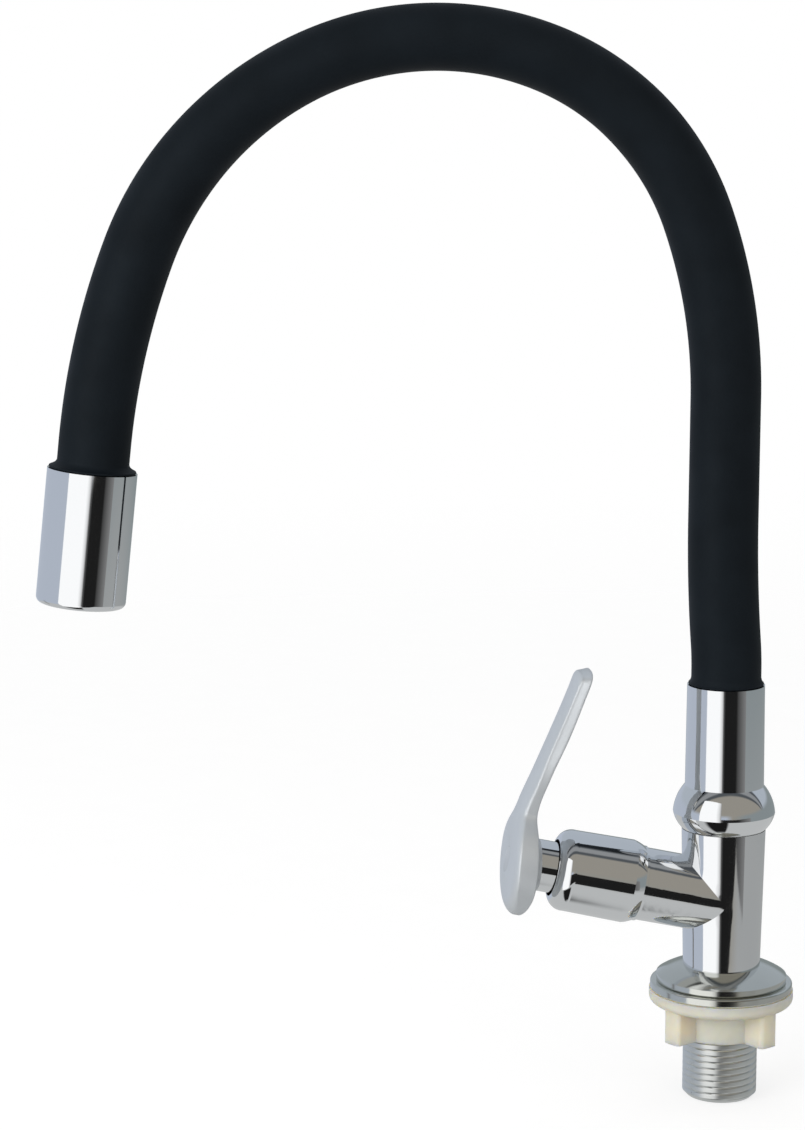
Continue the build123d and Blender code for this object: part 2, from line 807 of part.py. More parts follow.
def sleeve_end(travel, side, tuck, lip_radius):
    """One straight end of the sleeve; side is 1 where the neck starts and -1 where it ends."""
    with BuildSketch(neck_section(travel)) as section:
        with BuildLine():
            lip_low = (lip_radius, side * skin_gap)
            lip_high = (lip_radius, side * lip_thickness)
            lip_root = (sleeve_radius, side * lip_height)
            flare = (
                sleeve_radius + lip_flare_share * (lip_radius - sleeve_radius),
                side * (lip_thickness + lip_flare_share * (lip_height - lip_thickness)),
            )
            Polyline(
                lip_root,
                (sleeve_bore_radius, side * lip_height),
                (sleeve_bore_radius, -side * tuck),
                (sleeve_radius, -side * tuck),
                (sleeve_radius, side * skin_gap),
                lip_low,
                lip_high,
            )
            ThreePointArc(lip_high, flare, lip_root)
        make_face()
    revolve(section.sketch, axis=neck_axis(travel))


with BuildPart() as hose_sleeve:
    sweep_neck(lip_height, neck_length - lip_height, sleeve_radius, sleeve_bore_radius)
    sleeve_end(0, 1, collar_tuck, collar_lip_radius)
    sleeve_end(neck_length, -1, outlet_tuck, outlet_lip_radius)
finish(hose_sleeve.part, "hose_sleeve")


# Water tube inside the arm

arm_start = cup_floor - collar_rim + skin_gap
arm_end = neck_length + fitting_floor - skin_gap

with BuildPart() as water_tube:
    sweep_neck(arm_start, arm_end, tube_radius, tube_bore_radius)
finish(water_tube.part, "water_tube")


# Metal arm: lengths of tube, each pinned to the next by a fork and a pair of tongues

tongue_face = tube_radius + 2 * skin_gap
fork_face = tongue_face + ear_thickness + slip_fit
pin_head_face = fork_face + ear_thickness


def hinge_plane(travel, sideways):
    """Plane of one hinge: its normal is the hinge's axis, and y runs along the neck."""
    square = neck_plane(travel)
    axis = square.y_dir if sideways else square.x_dir
    return Plane(origin=square.origin, x_dir=square.z_dir.cross(axis), z_dir=axis)


def add_disc_pair(plane, face, radius, height):
    """A disc on each side of a hinge, standing outwards from the same distance."""
    for side in (1, -1):
        with BuildSketch(plane.offset(side * face)) as disc:
            Circle(radius)
        extrude(disc.sketch, amount=side * height)


def add_ears(plane, face, reach, hole_radius):
    """A flat ear on each side of a hinge: reach is signed, and runs along the neck into its tube."""
    for side in (1, -1):
        with BuildSketch(plane.offset(side * face)) as ear:
            Circle(ear_radius)
            with Locations((0, reach / 2)):
                Rectangle(2 * ear_radius, abs(reach))
            Circle(hole_radius, mode=Mode.SUBTRACT)
        extrude(ear.sketch, amount=side * ear_thickness)


ear_reach = arm_joint_gap / 2 + ear_root
hinges = [
    ("rise_pins", hinge_plane(rise_bend_at, False)),
    ("crown_pins", hinge_plane(crown_bend_at, False)),
    ("fall_pins", hinge_plane(fall_bend_at, False)),
    ("side_pins", hinge_plane(side_bend_at, True)),
]
bends = [rise_bend_at, crown_bend_at, fall_bend_at, side_bend_at]
starts = [arm_start] + [place + arm_joint_gap / 2 for place in bends]
ends = [place - arm_joint_gap / 2 for place in bends] + [arm_end]
arm_names = ["arm_root", "arm_rise", "arm_crown", "arm_fall", "arm_tip"]

for index, name in enumerate(arm_names):
    with BuildPart() as arm_length:
        sweep_neck(starts[index], ends[index], arm_radius, arm_bore_radius)
        if index > 0:
            add_ears(hinges[index - 1][1], tongue_face, ear_reach, pin_radius + running_fit)
        if index < len(hinges):
            add_ears(hinges[index][1], fork_face, -ear_reach, pin_radius + press_slack)
    finish(arm_length.part, name)

for name, hinge in hinges:
    with BuildPart() as pins:
        add_disc_pair(hinge, tongue_face, pin_radius, pin_head_face - tongue_face)
        add_disc_pair(hinge, pin_head_face, pin_head_radius, pin_head_height)
    finish(pins.part, name)


# Outlet: depths below its upper rim are heights in this section, with y along the neck

outlet_section = neck_section(neck_length)
outlet_line = neck_axis(neck_length)
outlet_bore_radius = outlet_radius - outlet_wall
aerator_radius = outlet_bore_radius - press_slack
straightener_end = straightener_start + straightener_thickness

with BuildPart() as outlet_fitting:
    with BuildSketch(outlet_section):
        ring(0, cup_radius, fitting_start, fitting_floor)
        ring(0, fitting_radius, fitting_floor, fitting_end)
        ring(nipple_radius, arm_radius + press_slack, fitting_start, fitting_floor, mode=Mode.SUBTRACT)
        ring(0, nipple_radius, fitting_start, fitting_floor - nipple_length, mode=Mode.SUBTRACT)
        ring(0, nipple_bore_radius, fitting_floor - nipple_length, fitting_end, mode=Mode.SUBTRACT)
    revolve(axis=outlet_line)
finish(outlet_fitting.part, "outlet_fitting")

with BuildPart() as outlet_sleeve:
    with BuildSketch(outlet_section) as outlet_profile:
        ring(outlet_bore_radius, outlet_radius, 0, outlet_length)
        fillet(outlet_profile.vertices().group_by(Axis.Y)[-1].sort_by(Axis.X)[-1], outlet_edge_round)
    revolve(axis=outlet_line)
finish(outlet_sleeve.part, "outlet_sleeve")

with BuildPart() as aerator_seal:
    with BuildSketch(outlet_section):
        ring(nipple_radius, aerator_radius - slip_fit, fitting_end, seal_end)
    revolve(axis=outlet_line)
finish(aerator_seal.part, "aerator_seal")

with BuildPart() as aerator_housing:
    with BuildSketch(outlet_section):
        ring(aerator_radius - aerator_wall, aerator_radius, seal_end, aerator_end)
        ring(straightener_radius - straightener_lip_width, aerator_radius, straightener_end, aerator_end)
    revolve(axis=outlet_line)
finish(aerator_housing.part, "aerator_housing")

with BuildPart() as flow_straightener:
    with BuildSketch(neck_plane(neck_length).offset(straightener_start)):
        Circle(straightener_radius)
        with HexLocations(straightener_hole_pitch / 2, 7, 7):
            Circle(straightener_hole_radius, mode=Mode.SUBTRACT)
    extrude(amount=straightener_thickness)
finish(flow_straightener.part, "flow_straightener")

with BuildPart() as aerator_screens:
    for index in range(screen_count):
        depth = straightener_start - (index + 1) * (screen_thickness + screen_gap)
        with BuildSketch(neck_plane(neck_length).offset(depth)):
            Circle(straightener_radius)
        extrude(amount=screen_thickness)
finish(aerator_screens.part, "aerator_screens")

print("neck length", round(neck_length, 1), "outlet rim at", neck_place(neck_length))
for name, hinge in hinges:
    print(name, "on", hinge.origin, "axis", hinge.z_dir)
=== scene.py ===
"""Looks of a flexible spout tap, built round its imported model: sizes in metres, +Z up."""

import json
import math

import bmesh
import bpy
import numpy as np
from bpy.props import FloatProperty, FloatVectorProperty, IntProperty, PointerProperty
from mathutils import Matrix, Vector


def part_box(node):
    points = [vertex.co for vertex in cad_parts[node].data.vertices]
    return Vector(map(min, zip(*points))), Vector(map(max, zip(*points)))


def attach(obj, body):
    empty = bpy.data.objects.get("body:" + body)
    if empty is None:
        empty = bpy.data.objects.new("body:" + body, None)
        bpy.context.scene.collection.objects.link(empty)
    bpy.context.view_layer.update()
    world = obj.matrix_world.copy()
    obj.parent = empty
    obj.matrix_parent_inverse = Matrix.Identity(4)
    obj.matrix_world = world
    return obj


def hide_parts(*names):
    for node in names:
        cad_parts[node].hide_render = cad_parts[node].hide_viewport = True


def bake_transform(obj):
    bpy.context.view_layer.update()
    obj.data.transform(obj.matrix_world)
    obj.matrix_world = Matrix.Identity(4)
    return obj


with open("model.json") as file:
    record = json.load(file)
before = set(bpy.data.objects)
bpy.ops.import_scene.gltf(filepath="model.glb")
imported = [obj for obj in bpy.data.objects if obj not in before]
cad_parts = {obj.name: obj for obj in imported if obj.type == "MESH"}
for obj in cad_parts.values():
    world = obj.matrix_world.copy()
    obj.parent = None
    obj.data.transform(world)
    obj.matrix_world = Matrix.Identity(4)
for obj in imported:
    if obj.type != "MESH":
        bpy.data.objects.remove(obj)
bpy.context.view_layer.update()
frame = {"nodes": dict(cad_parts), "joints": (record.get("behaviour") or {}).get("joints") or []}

bl_info = {
    "name": "Flexible Spout Tap",
    "version": (1, 0, 0),
    "blender": (4, 5, 0),
    "location": "View3D > Sidebar > Tap",
    "description": "Builds the soft parts, the lever and the finishes of a flexible spout tap",
    "category": "Object",
}

JOINTS = {joint["name"]: joint for joint in frame["joints"]}
Y_AXIS = np.array((0.0, 1.0, 0.0))

# Centre line of the neck from the collar's rim: (radius, turn in degrees), or (length, 0) if straight
NECK_ROUTE = (
    (0.0040, 0.0),
    (0.1020, 4.5),
    (0.4200, -4.7),
    (0.0334, 0.0),
    (0.1438, 20.2),
    (0.0719, 48.2),
    (0.0818, 48.6),
    (0.0896, 42.3),
    (0.2050, 14.9),
    (0.0065, 0.0),
)
# How far the line runs straight on past the route's end, for what reaches into the outlet
NECK_LEAD = 0.03
# Points of the line among which the place of a joint is looked for
NECK_SAMPLES = 4001

# Outer radius of the rubber sleeve at lengths along the neck: the pull of the bend draws it thinner
SLEEVE_STATIONS = np.array((
    (0.000, 0.00973),
    (0.065, 0.00966),
    (0.140, 0.00960),
    (0.157, 0.00950),
    (0.172, 0.00926),
    (0.188, 0.00910),
    (0.205, 0.00900),
    (0.235, 0.00896),
    (0.262, 0.00900),
    (0.283, 0.00922),
    (0.310, 0.00958),
    (0.335, 0.00973),
    (0.390, 0.00973),
))

# The neck's bends from the collar on: each joint, and the bodies before and after it
NECK_BENDS = (
    ("rise_bend", "spout_base", "neck_rise"),
    ("crown_bend", "neck_rise", "neck_crown"),
    ("fall_bend", "neck_crown", "neck_fall"),
    ("side_bend", "neck_fall", "outlet"),
)


def length(name, description, default):
    """A property that holds a length in metres."""
    return FloatProperty(
        name=name, description=description, default=default, min=0.0, precision=5,
        subtype="DISTANCE", unit="LENGTH",
    )


def colour(name, description, default):
    """A property that holds a linear colour."""
    return FloatVectorProperty(
        name=name, description=description, default=default, size=3, min=0.0, max=1.0, subtype="COLOR"
    )


def degrees(name, description, default):
    """A property that holds an angle, given in degrees."""
    return FloatProperty(
        name=name, description=description, default=math.radians(default), subtype="ANGLE"
    )


def amount(name, description, default, least=0.0):
    """A property that holds a plain number."""
    return FloatProperty(name=name, description=description, default=default, min=least)


def count(name, description, default, least):
    """A property that holds a whole number."""
    return IntProperty(name=name, description=description, default=default, min=least)


class NeckSettings(bpy.types.PropertyGroup):
    """Sizes of the rubber sleeve and of the water tube in it."""

    sleeve_radius: length("Sleeve radius", "Outer radius of the rubber sleeve in the metal rims", 0.00975)
    sleeve_wall: length("Sleeve wall", "Thickness of the rubber sleeve", 0.0005)
    sleeve_tuck: length("Tuck", "How far the sleeve reaches into each metal rim", 0.0095)
    collar_lip: length("Lip on the collar", "Radius of the sleeve's lip at its lower end", 0.0105)
    outlet_lip: length("Lip on the outlet", "Radius of the sleeve's lip at its outlet end", 0.0118)
    lip_gap: length("Lip gap", "Gap between a lip and the metal rim under it", 0.00015)
    lip_thickness: length("Lip thickness", "Thickness of the lip at its edge", 0.0007)
    lip_height: length("Lip height", "Height at which the flare of the lip ends", 0.0026)
    flare_power: amount("Flare", "How hollow the flare is", 2.4, least=1.0)
    sleeve_bend: length("Sleeve bend", "Length over which the sleeve takes up a bend", 0.072)
    tube_radius: length("Tube radius", "Outer radius of the water tube", 0.0040)
    tube_bore: length("Tube bore", "Inner radius of the water tube", 0.0032)
    tube_bend: length("Tube bend", "Length over which the tube takes up a bend", 0.046)
    step: length("Step", "Distance between rings along the neck", 0.0012)
    around: count("Around", "Points in each ring", 96, least=12)
    nose_points: count("Nose points", "Points round the nose of a lip", 9, least=3)
    flare_points: count("Flare points", "Points down the flare of a lip", 12, least=2)


class LeverSettings(bpy.types.PropertyGroup):
    """Sizes of the lever: heights are offsets above the branch's axis, depths run outwards along it."""

    hub_radius: length("Hub radius", "Radius of the round hub", 0.0148)
    reach: length("Reach", "Height of the lever's tip", 0.0570)
    waist_half_width: length("Waist", "Half width of the arm above the hub", 0.0064)
    tip_half_width: length("Tip half width", "Half width of the arm near its tip", 0.0070)
    tip_bulge: length("Tip bulge", "Length over which the arm's end is rounded", 0.0034)
    hub_blend: length("Hub blend", "Softness of the corner between hub and arm", 0.0042)
    stem_radius: length("Stem radius", "Radius of the stem behind the hub", 0.0072)
    stem_flare: length("Stem flare", "Depth of the flare where stem and hub meet", 0.0020)
    flare_reach: length("Flare reach", "Distance over which the flare fades", 0.0011)
    cap_radius: length("Cap bore", "Radius of the recess for the index cap", 0.00364)
    pad_depth: length("Pad depth", "Depth of the flat pad round the index cap", 0.0629)
    pad_run: length("Pad run", "Distance over which the pad eases into the hub's front", 0.0030)
    spine_start: length("Spine start", "Height at which the faces' grid leaves the hub's circle", 0.0165)
    spine_end: length("Spine end", "How far the grid's middle line ends below the tip", 0.0045)
    draft: length("Draft", "How far the arm's front edge stands in from its back edge", 0.0009)
    draft_start: length("Draft start", "Height over the branch's axis where the draft starts", 0.020)
    draft_run: length("Draft run", "Height over which the draft grows", 0.015)
    outline_points: count("Outline", "Points in half of the outline", 180, least=24)
    face_rows: count("Face rows", "Rows from the middle to the outline", 26, least=4)
    flank_rows: count("Flank rows", "Rows across the flank", 5, least=2)


class ShankSettings(bpy.types.PropertyGroup):
    """Sizes of the threaded shank."""

    crest_radius: length("Crest radius", "Radius over the thread", 0.0104775)
    thread_depth: length("Thread depth", "Depth of the thread", 0.00020)
    groove_share: amount("Groove", "Share of the pitch that the groove takes", 0.36)
    pitch: length("Pitch", "Distance between turns of the thread", 0.001814)
    bore_radius: length("Bore radius", "Radius of the water way", 0.0060)
    spigot_radius: length("Spigot radius", "Radius of the plain end in the body", 0.0082)
    chamfer: length("Chamfer", "Chamfer at the lower end", 0.0012)
    run_out: length("Run out", "Length over which the thread fades at its top", 0.0020)
    step: length("Step", "Distance between rings along the shank", 0.00013)
    around: count("Around", "Points in each ring", 144, least=24)


class FinishSettings(bpy.types.PropertyGroup):
    """Colours of the finishes that show."""

    chrome: colour("Chrome", "Bright plating", (0.80, 0.81, 0.82))
    polished: colour("Polished steel", "Base plate and clamp washer", (0.64, 0.65, 0.61))
    plating: colour("Shank plating", "Satin plating of the thread", (0.70, 0.715, 0.70))
    lever: colour("Lever", "Satin finish of the lever", (0.69, 0.72, 0.745))
    rubber: colour("Rubber", "Matt black of the sleeve", (0.0068, 0.0097, 0.0128))
    nut: colour("Nut", "Cream plastic of the back nut", (0.83, 0.765, 0.63))
    brass: colour("Brass", "Turned brass of the valve and the spigot", (0.72, 0.50, 0.22))


class StudioSettings(bpy.types.PropertyGroup):
    """Light, floor and camera."""

    lens: amount("Lens", "Focal length in millimetres", 95.575, least=1.0)
    sensor: amount("Sensor", "Width of the camera's sensor in millimetres", 36.0, least=1.0)
    camera_place: FloatVectorProperty(
        name="Camera place", description="Where the camera stands", subtype="XYZ",
        default=(-0.1810, -0.8047, 0.2516),
    )
    camera_azimuth: degrees("Azimuth", "Turn of the camera round the tap", -6.4)
    camera_pitch: degrees("Pitch", "How far the camera looks down", 9.2)
    ambient: amount("Ambient", "Strength of the even light", 0.66)
    key_power: amount("Key lamp", "Power of the key lamp in watts", 5.2)
    fill_power: amount("Fill lamp", "Power of the fill lamp in watts", 1.6)
    lamp_size: length("Lamp size", "Width of each lamp", 0.6)
    white_card: amount("White card", "Brightness of the white card", 1.18)
    floor_lift: amount("Floor lift", "Light that the floor adds for the camera alone", 0.73)
    floor_radius: length("Floor radius", "Radius of the floor", 1.4)


SETTINGS = {
    "tap_neck": NeckSettings,
    "tap_lever": LeverSettings,
    "tap_shank": ShankSettings,
    "tap_finish": FinishSettings,
    "tap_studio": StudioSettings,
}


# Meshes from arrays

# Points this close are one, edges this short are none, and a wider turn between faces looks sharp
SAME_POINT = 2e-6
NO_EDGE = 1e-7
SHARP_TURN = math.radians(35)


def grid_quads(rows, columns, close_rows, close_columns):
    """Quads of a grid of points in row order, wrapped round where a direction is closed."""
    row = np.arange(rows if close_rows else rows - 1)[:, None]
    column = np.arange(columns if close_columns else columns - 1)[None, :]
    next_row = (row + 1) % rows
    next_column = (column + 1) % columns
    corners = (
        row * columns + column,
        row * columns + next_column,
        next_row * columns + next_column,
        next_row * columns + column,
    )
    shape = (row.size, column.size)
    return np.stack([np.broadcast_to(corner, shape).ravel() for corner in corners], axis=1)


def make_piece(name, grids):
    """A closed object from grids (points, quads): doubles are merged, and faces point outwards."""
    bm = bmesh.new()
    for points, quads in grids:
        mesh = bpy.data.meshes.new(name)
        mesh.from_pydata(points.reshape(-1, 3).tolist(), [], quads.tolist())
        bm.from_mesh(mesh)
        bpy.data.meshes.remove(mesh)
    bmesh.ops.remove_doubles(bm, verts=bm.verts, dist=SAME_POINT)
    bmesh.ops.dissolve_degenerate(bm, edges=bm.edges, dist=NO_EDGE)
    bmesh.ops.recalc_face_normals(bm, faces=bm.faces)
    if bm.calc_volume(signed=True) < 0:
        bmesh.ops.reverse_faces(bm, faces=bm.faces)
    mesh = bpy.data.meshes.new(name)
    bm.to_mesh(mesh)
    bm.free()
    mesh.polygons.foreach_set("use_smooth", np.ones(len(mesh.polygons), dtype=bool))
    mesh.set_sharp_from_angle(angle=SHARP_TURN)
    piece = bpy.data.objects.new(name, mesh)
    bpy.context.scene.collection.objects.link(piece)
    return piece


def smooth(share):
    """Eases a share between 0 and 1: three times its square less twice its cube."""
    return share * share * (3 - 2 * share)


def eased_curve(places, values, where):
    """Smooth curve through a few values: cubic pieces whose slopes are those of their neighbours' chords."""
    places = np.asarray(places, float)
    values = np.asarray(values, float)
    slopes = np.gradient(values, places)
    index = np.clip(np.searchsorted(places, where) - 1, 0, len(places) - 2)
    gap = places[index + 1] - places[index]
    share = np.clip((where - places[index]) / gap, 0.0, 1.0)
    rise = values[index + 1] - values[index]
    lean = slopes[index] * (1 - share) - slopes[index + 1] * share
    return values[index] + rise * smooth(share) + gap * share * (1 - share) * lean


# Shader nodes

def bare_material(name):
    """A node material without a shader."""
    material = bpy.data.materials.new(name)
    material.use_nodes = True
    nodes = material.node_tree.nodes
    nodes.remove(nodes["Principled BSDF"])
    return material


def worked(tree, operation, *values):
    """Output of a math node over sockets and plain numbers."""
    node = tree.nodes.new("ShaderNodeMath")
    node.operation = operation
    for socket, value in zip(node.inputs, values):
        if isinstance(value, bpy.types.NodeSocket):
            tree.links.new(value, socket)
        else:
            socket.default_value = value
    return node.outputs["Value"]


def spread(tree, source, span, low=0.0, high=1.0, curve="LINEAR"):
    """A source that lies within a span, spread between low and high."""
    node = tree.nodes.new("ShaderNodeMapRange")
    node.interpolation_type = curve
    for key, value in zip(("From Min", "From Max", "To Min", "To Max"), (*span, low, high)):
        node.inputs[key].default_value = value
    tree.links.new(source, node.inputs["Value"])
    return node.outputs["Result"]


def mixed(tree, factor, first, second):
    """A mix of two colours, each a socket or a plain colour."""
    node = tree.nodes.new("ShaderNodeMix")
    node.data_type = "RGBA"
    tree.links.new(factor, node.inputs["Factor"])
    for socket, value in ((node.inputs["A"], first), (node.inputs["B"], second)):
        if isinstance(value, bpy.types.NodeSocket):
            tree.links.new(value, socket)
        else:
            socket.default_value = (*value, 1.0)
    return node.outputs["Result"]


def ramp(tree, source, stops):
    """Colours of a ramp of (place, colour) stops, read at a source."""
    node = tree.nodes.new("ShaderNodeValToRGB")
    tree.links.new(source, node.inputs["Fac"])
    elements = node.color_ramp.elements
    elements[0].position, elements[0].color = stops[0][0], (*stops[0][1], 1.0)
    elements[1].position, elements[1].color = stops[-1][0], (*stops[-1][1], 1.0)
    for place, tint in stops[1:-1]:
        elements.new(place).color = (*tint, 1.0)
    return node.outputs["Color"]


# Materials

# Most of a noise texture's values lie in this span
NOISE_SPAN = (0.25, 0.75)


class Finish:
    """A node material with one principled shader, and the few helpers that its textures need."""

    def __init__(self, name, base, metallic, roughness, ior_level=0.5):
        self.material = bpy.data.materials.new(name)
        self.material.use_nodes = True
        self.tree = self.material.node_tree
        self.shader = self.tree.nodes["Principled BSDF"]
        self.shader.inputs["Base Color"].default_value = (*base, 1.0)
        self.shader.inputs["Metallic"].default_value = metallic
        self.shader.inputs["Roughness"].default_value = roughness
        self.shader.inputs["Specular IOR Level"].default_value = ior_level
        self.place = self.tree.nodes.new("ShaderNodeTexCoord").outputs["Object"]
        self.normal = None

    def noise(self, size, detail=3.0, stretch=(1.0, 1.0, 1.0)):
        """Cloudy noise from 0 to 1, in blotches about as wide as size times stretch."""
        mapping = self.tree.nodes.new("ShaderNodeMapping")
        mapping.vector_type = "TEXTURE"
        mapping.inputs["Scale"].default_value = [size * part for part in stretch]
        texture = self.tree.nodes.new("ShaderNodeTexNoise")
        texture.inputs["Scale"].default_value = 1.0
        texture.inputs["Detail"].default_value = detail
        self.tree.links.new(self.place, mapping.inputs["Vector"])
        self.tree.links.new(mapping.outputs["Vector"], texture.inputs["Vector"])
        return texture.outputs["Fac"]

    def vary_roughness(self, source, low, high):
        """Roughness that wanders between two values."""
        wander = spread(self.tree, source, NOISE_SPAN, low, high)
        self.tree.links.new(wander, self.shader.inputs["Roughness"])

    def vary_colour(self, source, first, second):
        """Colour that wanders between two colours."""
        wander = mixed(self.tree, spread(self.tree, source, NOISE_SPAN), first, second)
        self.tree.links.new(wander, self.shader.inputs["Base Color"])

    def relief(self, source, depth, strength):
        """Bump of a depth in metres, over any bump that is there already."""
        bump = self.tree.nodes.new("ShaderNodeBump")
        bump.inputs["Strength"].default_value = strength
        bump.inputs["Distance"].default_value = depth
        self.tree.links.new(source, bump.inputs["Height"])
        if self.normal is not None:
            self.tree.links.new(self.normal, bump.inputs["Normal"])
        self.normal = bump.outputs["Normal"]
        self.tree.links.new(self.normal, self.shader.inputs["Normal"])


def shade(tint, factor):
    """A colour made darker or lighter."""
    return tuple(min(1.0, part * factor) for part in tint)


def chrome_finish(finish):
    """Bright plating: mirror polish with the faint waves of hand buffing."""
    made = Finish("chrome", finish.chrome, metallic=1.0, roughness=0.05)
    made.vary_roughness(made.noise(0.012), low=0.035, high=0.075)
    made.relief(made.noise(0.009, detail=1.0), depth=0.00002, strength=0.25)
    return made.material


def polished_steel_finish(finish):
    """Polished sheet: nearly a mirror, a little uneven from the polishing wheel."""
    made = Finish("polished_steel", finish.polished, metallic=1.0, roughness=0.18)
    made.vary_roughness(made.noise(0.004), low=0.08, high=0.16)
    made.vary_colour(made.noise(0.010), shade(finish.polished, 0.93), finish.polished)
    made.relief(made.noise(0.006, detail=1.0), depth=0.00003, strength=0.3)
    return made.material


def shank_plating_finish(finish):
    """Satin nickel plating over a cut thread, a little darker in patches."""
    made = Finish("shank_plating", finish.plating, metallic=1.0, roughness=0.3)
    made.vary_roughness(made.noise(0.003), low=0.27, high=0.32)
    made.vary_colour(made.noise(0.006), shade(finish.plating, 0.94), finish.plating)
    made.relief(made.noise(0.0004, detail=2.0, stretch=(8.0, 8.0, 1.0)), depth=0.000003, strength=0.15)
    return made.material


def lever_finish(finish):
    """Pearl satin plating over a die casting: soft, even, scattering, with a very fine grain."""
    made = Finish("lever_finish", finish.lever, metallic=0.6, roughness=0.48)
    made.vary_roughness(made.noise(0.006), low=0.44, high=0.52)
    made.vary_colour(made.noise(0.014), shade(finish.lever, 0.96), finish.lever)
    made.relief(made.noise(0.0003), depth=0.000004, strength=0.35)
    return made.material


def rubber_finish(finish):
    """Smooth matt black silicone with a fine moulded grain and faint handling marks."""
    made = Finish("black_rubber", finish.rubber, metallic=0.0, roughness=0.55, ior_level=0.08)
    made.vary_roughness(made.noise(0.010, detail=5.0), low=0.48, high=0.60)
    made.vary_colour(made.noise(0.018, detail=4.0), shade(finish.rubber, 0.8), shade(finish.rubber, 1.3))
    made.relief(made.noise(0.00035, detail=4.0), depth=0.000012, strength=0.5)
    made.relief(made.noise(0.006, detail=2.0), depth=0.00004, strength=0.2)
    return made.material


def nut_plastic_finish(finish):
    """Cream moulded plastic that lets a little light in, mottled as nylon is."""
    made = Finish("nut_plastic", finish.nut, metallic=0.0, roughness=0.38, ior_level=0.45)
    made.shader.inputs["Subsurface Weight"].default_value = 0.9
    made.shader.inputs["Subsurface Radius"].default_value = (0.9, 0.7, 0.35)
    made.shader.inputs["Subsurface Scale"].default_value = 0.008
    made.vary_roughness(made.noise(0.003, detail=4.0), low=0.32, high=0.46)
    made.vary_colour(made.noise(0.007), shade(finish.nut, 0.90), shade(finish.nut, 1.04))
    made.relief(made.noise(0.0012), depth=0.00003, strength=0.3)
    return made.material


def brass_finish(finish):
    """Turned brass, with the fine rings of the tool."""
    made = Finish("brass", finish.brass, metallic=1.0, roughness=0.25)
    made.vary_roughness(made.noise(0.002, detail=4.0), low=0.18, high=0.34)
    made.vary_colour(made.noise(0.006), shade(finish.brass, 0.82), finish.brass)
    made.relief(made.noise(0.0005, detail=2.0, stretch=(8.0, 8.0, 1.0)), depth=0.00001, strength=0.3)
    return made.material


def dull_finish(name, base, metallic, roughness, blotch, grain):
    """A hidden material: its colour and roughness wander over blotches, and a fine grain roughens it."""
    made = Finish(name, base, metallic, roughness)
    made.vary_roughness(made.noise(blotch, detail=4.0), low=0.85 * roughness, high=1.15 * roughness)
    made.vary_colour(made.noise(2 * blotch), shade(base, 0.86), shade(base, 1.06))
    made.relief(made.noise(grain), depth=0.04 * grain, strength=0.4)
    return made.material


# Hidden finishes: colour, metallic, roughness, width of the blotches, width of the grain
DULL_FINISHES = {
    "seal_rubber": ((0.012, 0.012, 0.013), 0.0, 0.6, 0.003, 0.0002),
    "gasket_rubber": ((0.030, 0.029, 0.028), 0.0, 0.7, 0.004, 0.0003),
    "white_plastic": ((0.78, 0.78, 0.75), 0.0, 0.4, 0.003, 0.0004),
    "tube_plastic": ((0.62, 0.64, 0.64), 0.0, 0.45, 0.006, 0.0006),
    "grey_plastic": ((0.70, 0.725, 0.745), 0.6, 0.48, 0.003, 0.0004),
    "arm_metal": ((0.66, 0.67, 0.68), 1.0, 0.35, 0.005, 0.0005),
    "fixing_steel": ((0.55, 0.55, 0.56), 1.0, 0.3, 0.002, 0.0003),
    "ceramic": ((0.82, 0.81, 0.77), 0.0, 0.18, 0.003, 0.0003),
    "screen_steel": ((0.58, 0.58, 0.57), 1.0, 0.4, 0.001, 0.0004),
}
SHOWN_FINISHES = {
    "chrome": chrome_finish,
    "polished_steel": polished_steel_finish,
    "shank_plating": shank_plating_finish,
    "lever_finish": lever_finish,
    "black_rubber": rubber_finish,
    "nut_plastic": nut_plastic_finish,
    "brass": brass_finish,
}


def finish_material(slot):
    """The material of a slot of the record, made once."""
    made = bpy.data.materials.get("tap_" + slot)
    if made is None:
        if slot in SHOWN_FINISHES:
            made = SHOWN_FINISHES[slot](bpy.context.scene.tap_finish)
        else:
            made = dull_finish(slot, *DULL_FINISHES[slot])
        made.name = "tap_" + slot
    return made


def dress(slot, *nodes):
    """Gives CAD nodes the finish of their slot."""
    for name in nodes:
        for material_slot in frame["nodes"][name].material_slots:
            material_slot.material = finish_material(slot)


def take_finish(piece, slot):
    """Gives a new piece its slot and finish."""
    piece.data.materials.append(finish_material(slot))


# The neck's centre line

def neck_line(travel):
    """Points and tangents of the neck's centre line at lengths along it from the collar's rim.

    Each run is straight or an arc that turns the heading evenly. A point is its run's start plus
    the run's radius times the change of the heading's sine and cosine.
    """
    travel = np.asarray(travel, float)
    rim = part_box("swivel_collar")[1].z
    heading = math.pi / 2
    point = np.array((0.0, rim))
    points = point + np.outer(travel, (0.0, 1.0))
    headings = np.full(travel.shape, heading)
    reached = 0.0
    for size, turn in NECK_ROUTE + ((NECK_LEAD, 0.0),):
        angle = math.radians(turn)
        run = size * abs(angle) if turn else size
        part = np.append(np.clip((travel - reached) / run, 0.0, 1.0), 1.0)
        ahead = heading + angle * part
        if turn:
            across = np.sin(ahead) - math.sin(heading)
            along = math.cos(heading) - np.cos(ahead)
            moved = np.stack([across, along], axis=1) * math.copysign(size, angle)
        else:
            moved = np.outer(part, (math.cos(heading), math.sin(heading))) * size
        inside = travel >= reached
        points[inside] = point + moved[:-1][inside]
        headings[inside] = ahead[:-1][inside]
        point = point + moved[-1]
        heading = ahead[-1]
        reached += run
    places = np.stack([points[:, 0], np.zeros_like(travel), points[:, 1]], axis=1)
    tangents = np.stack([np.cos(headings), np.zeros_like(travel), np.sin(headings)], axis=1)
    return places, tangents


def neck_length():
    """Length of the centre line from the collar's rim to the outlet's rim."""
    return sum(size * math.radians(abs(turn)) if turn else size for size, turn in NECK_ROUTE)


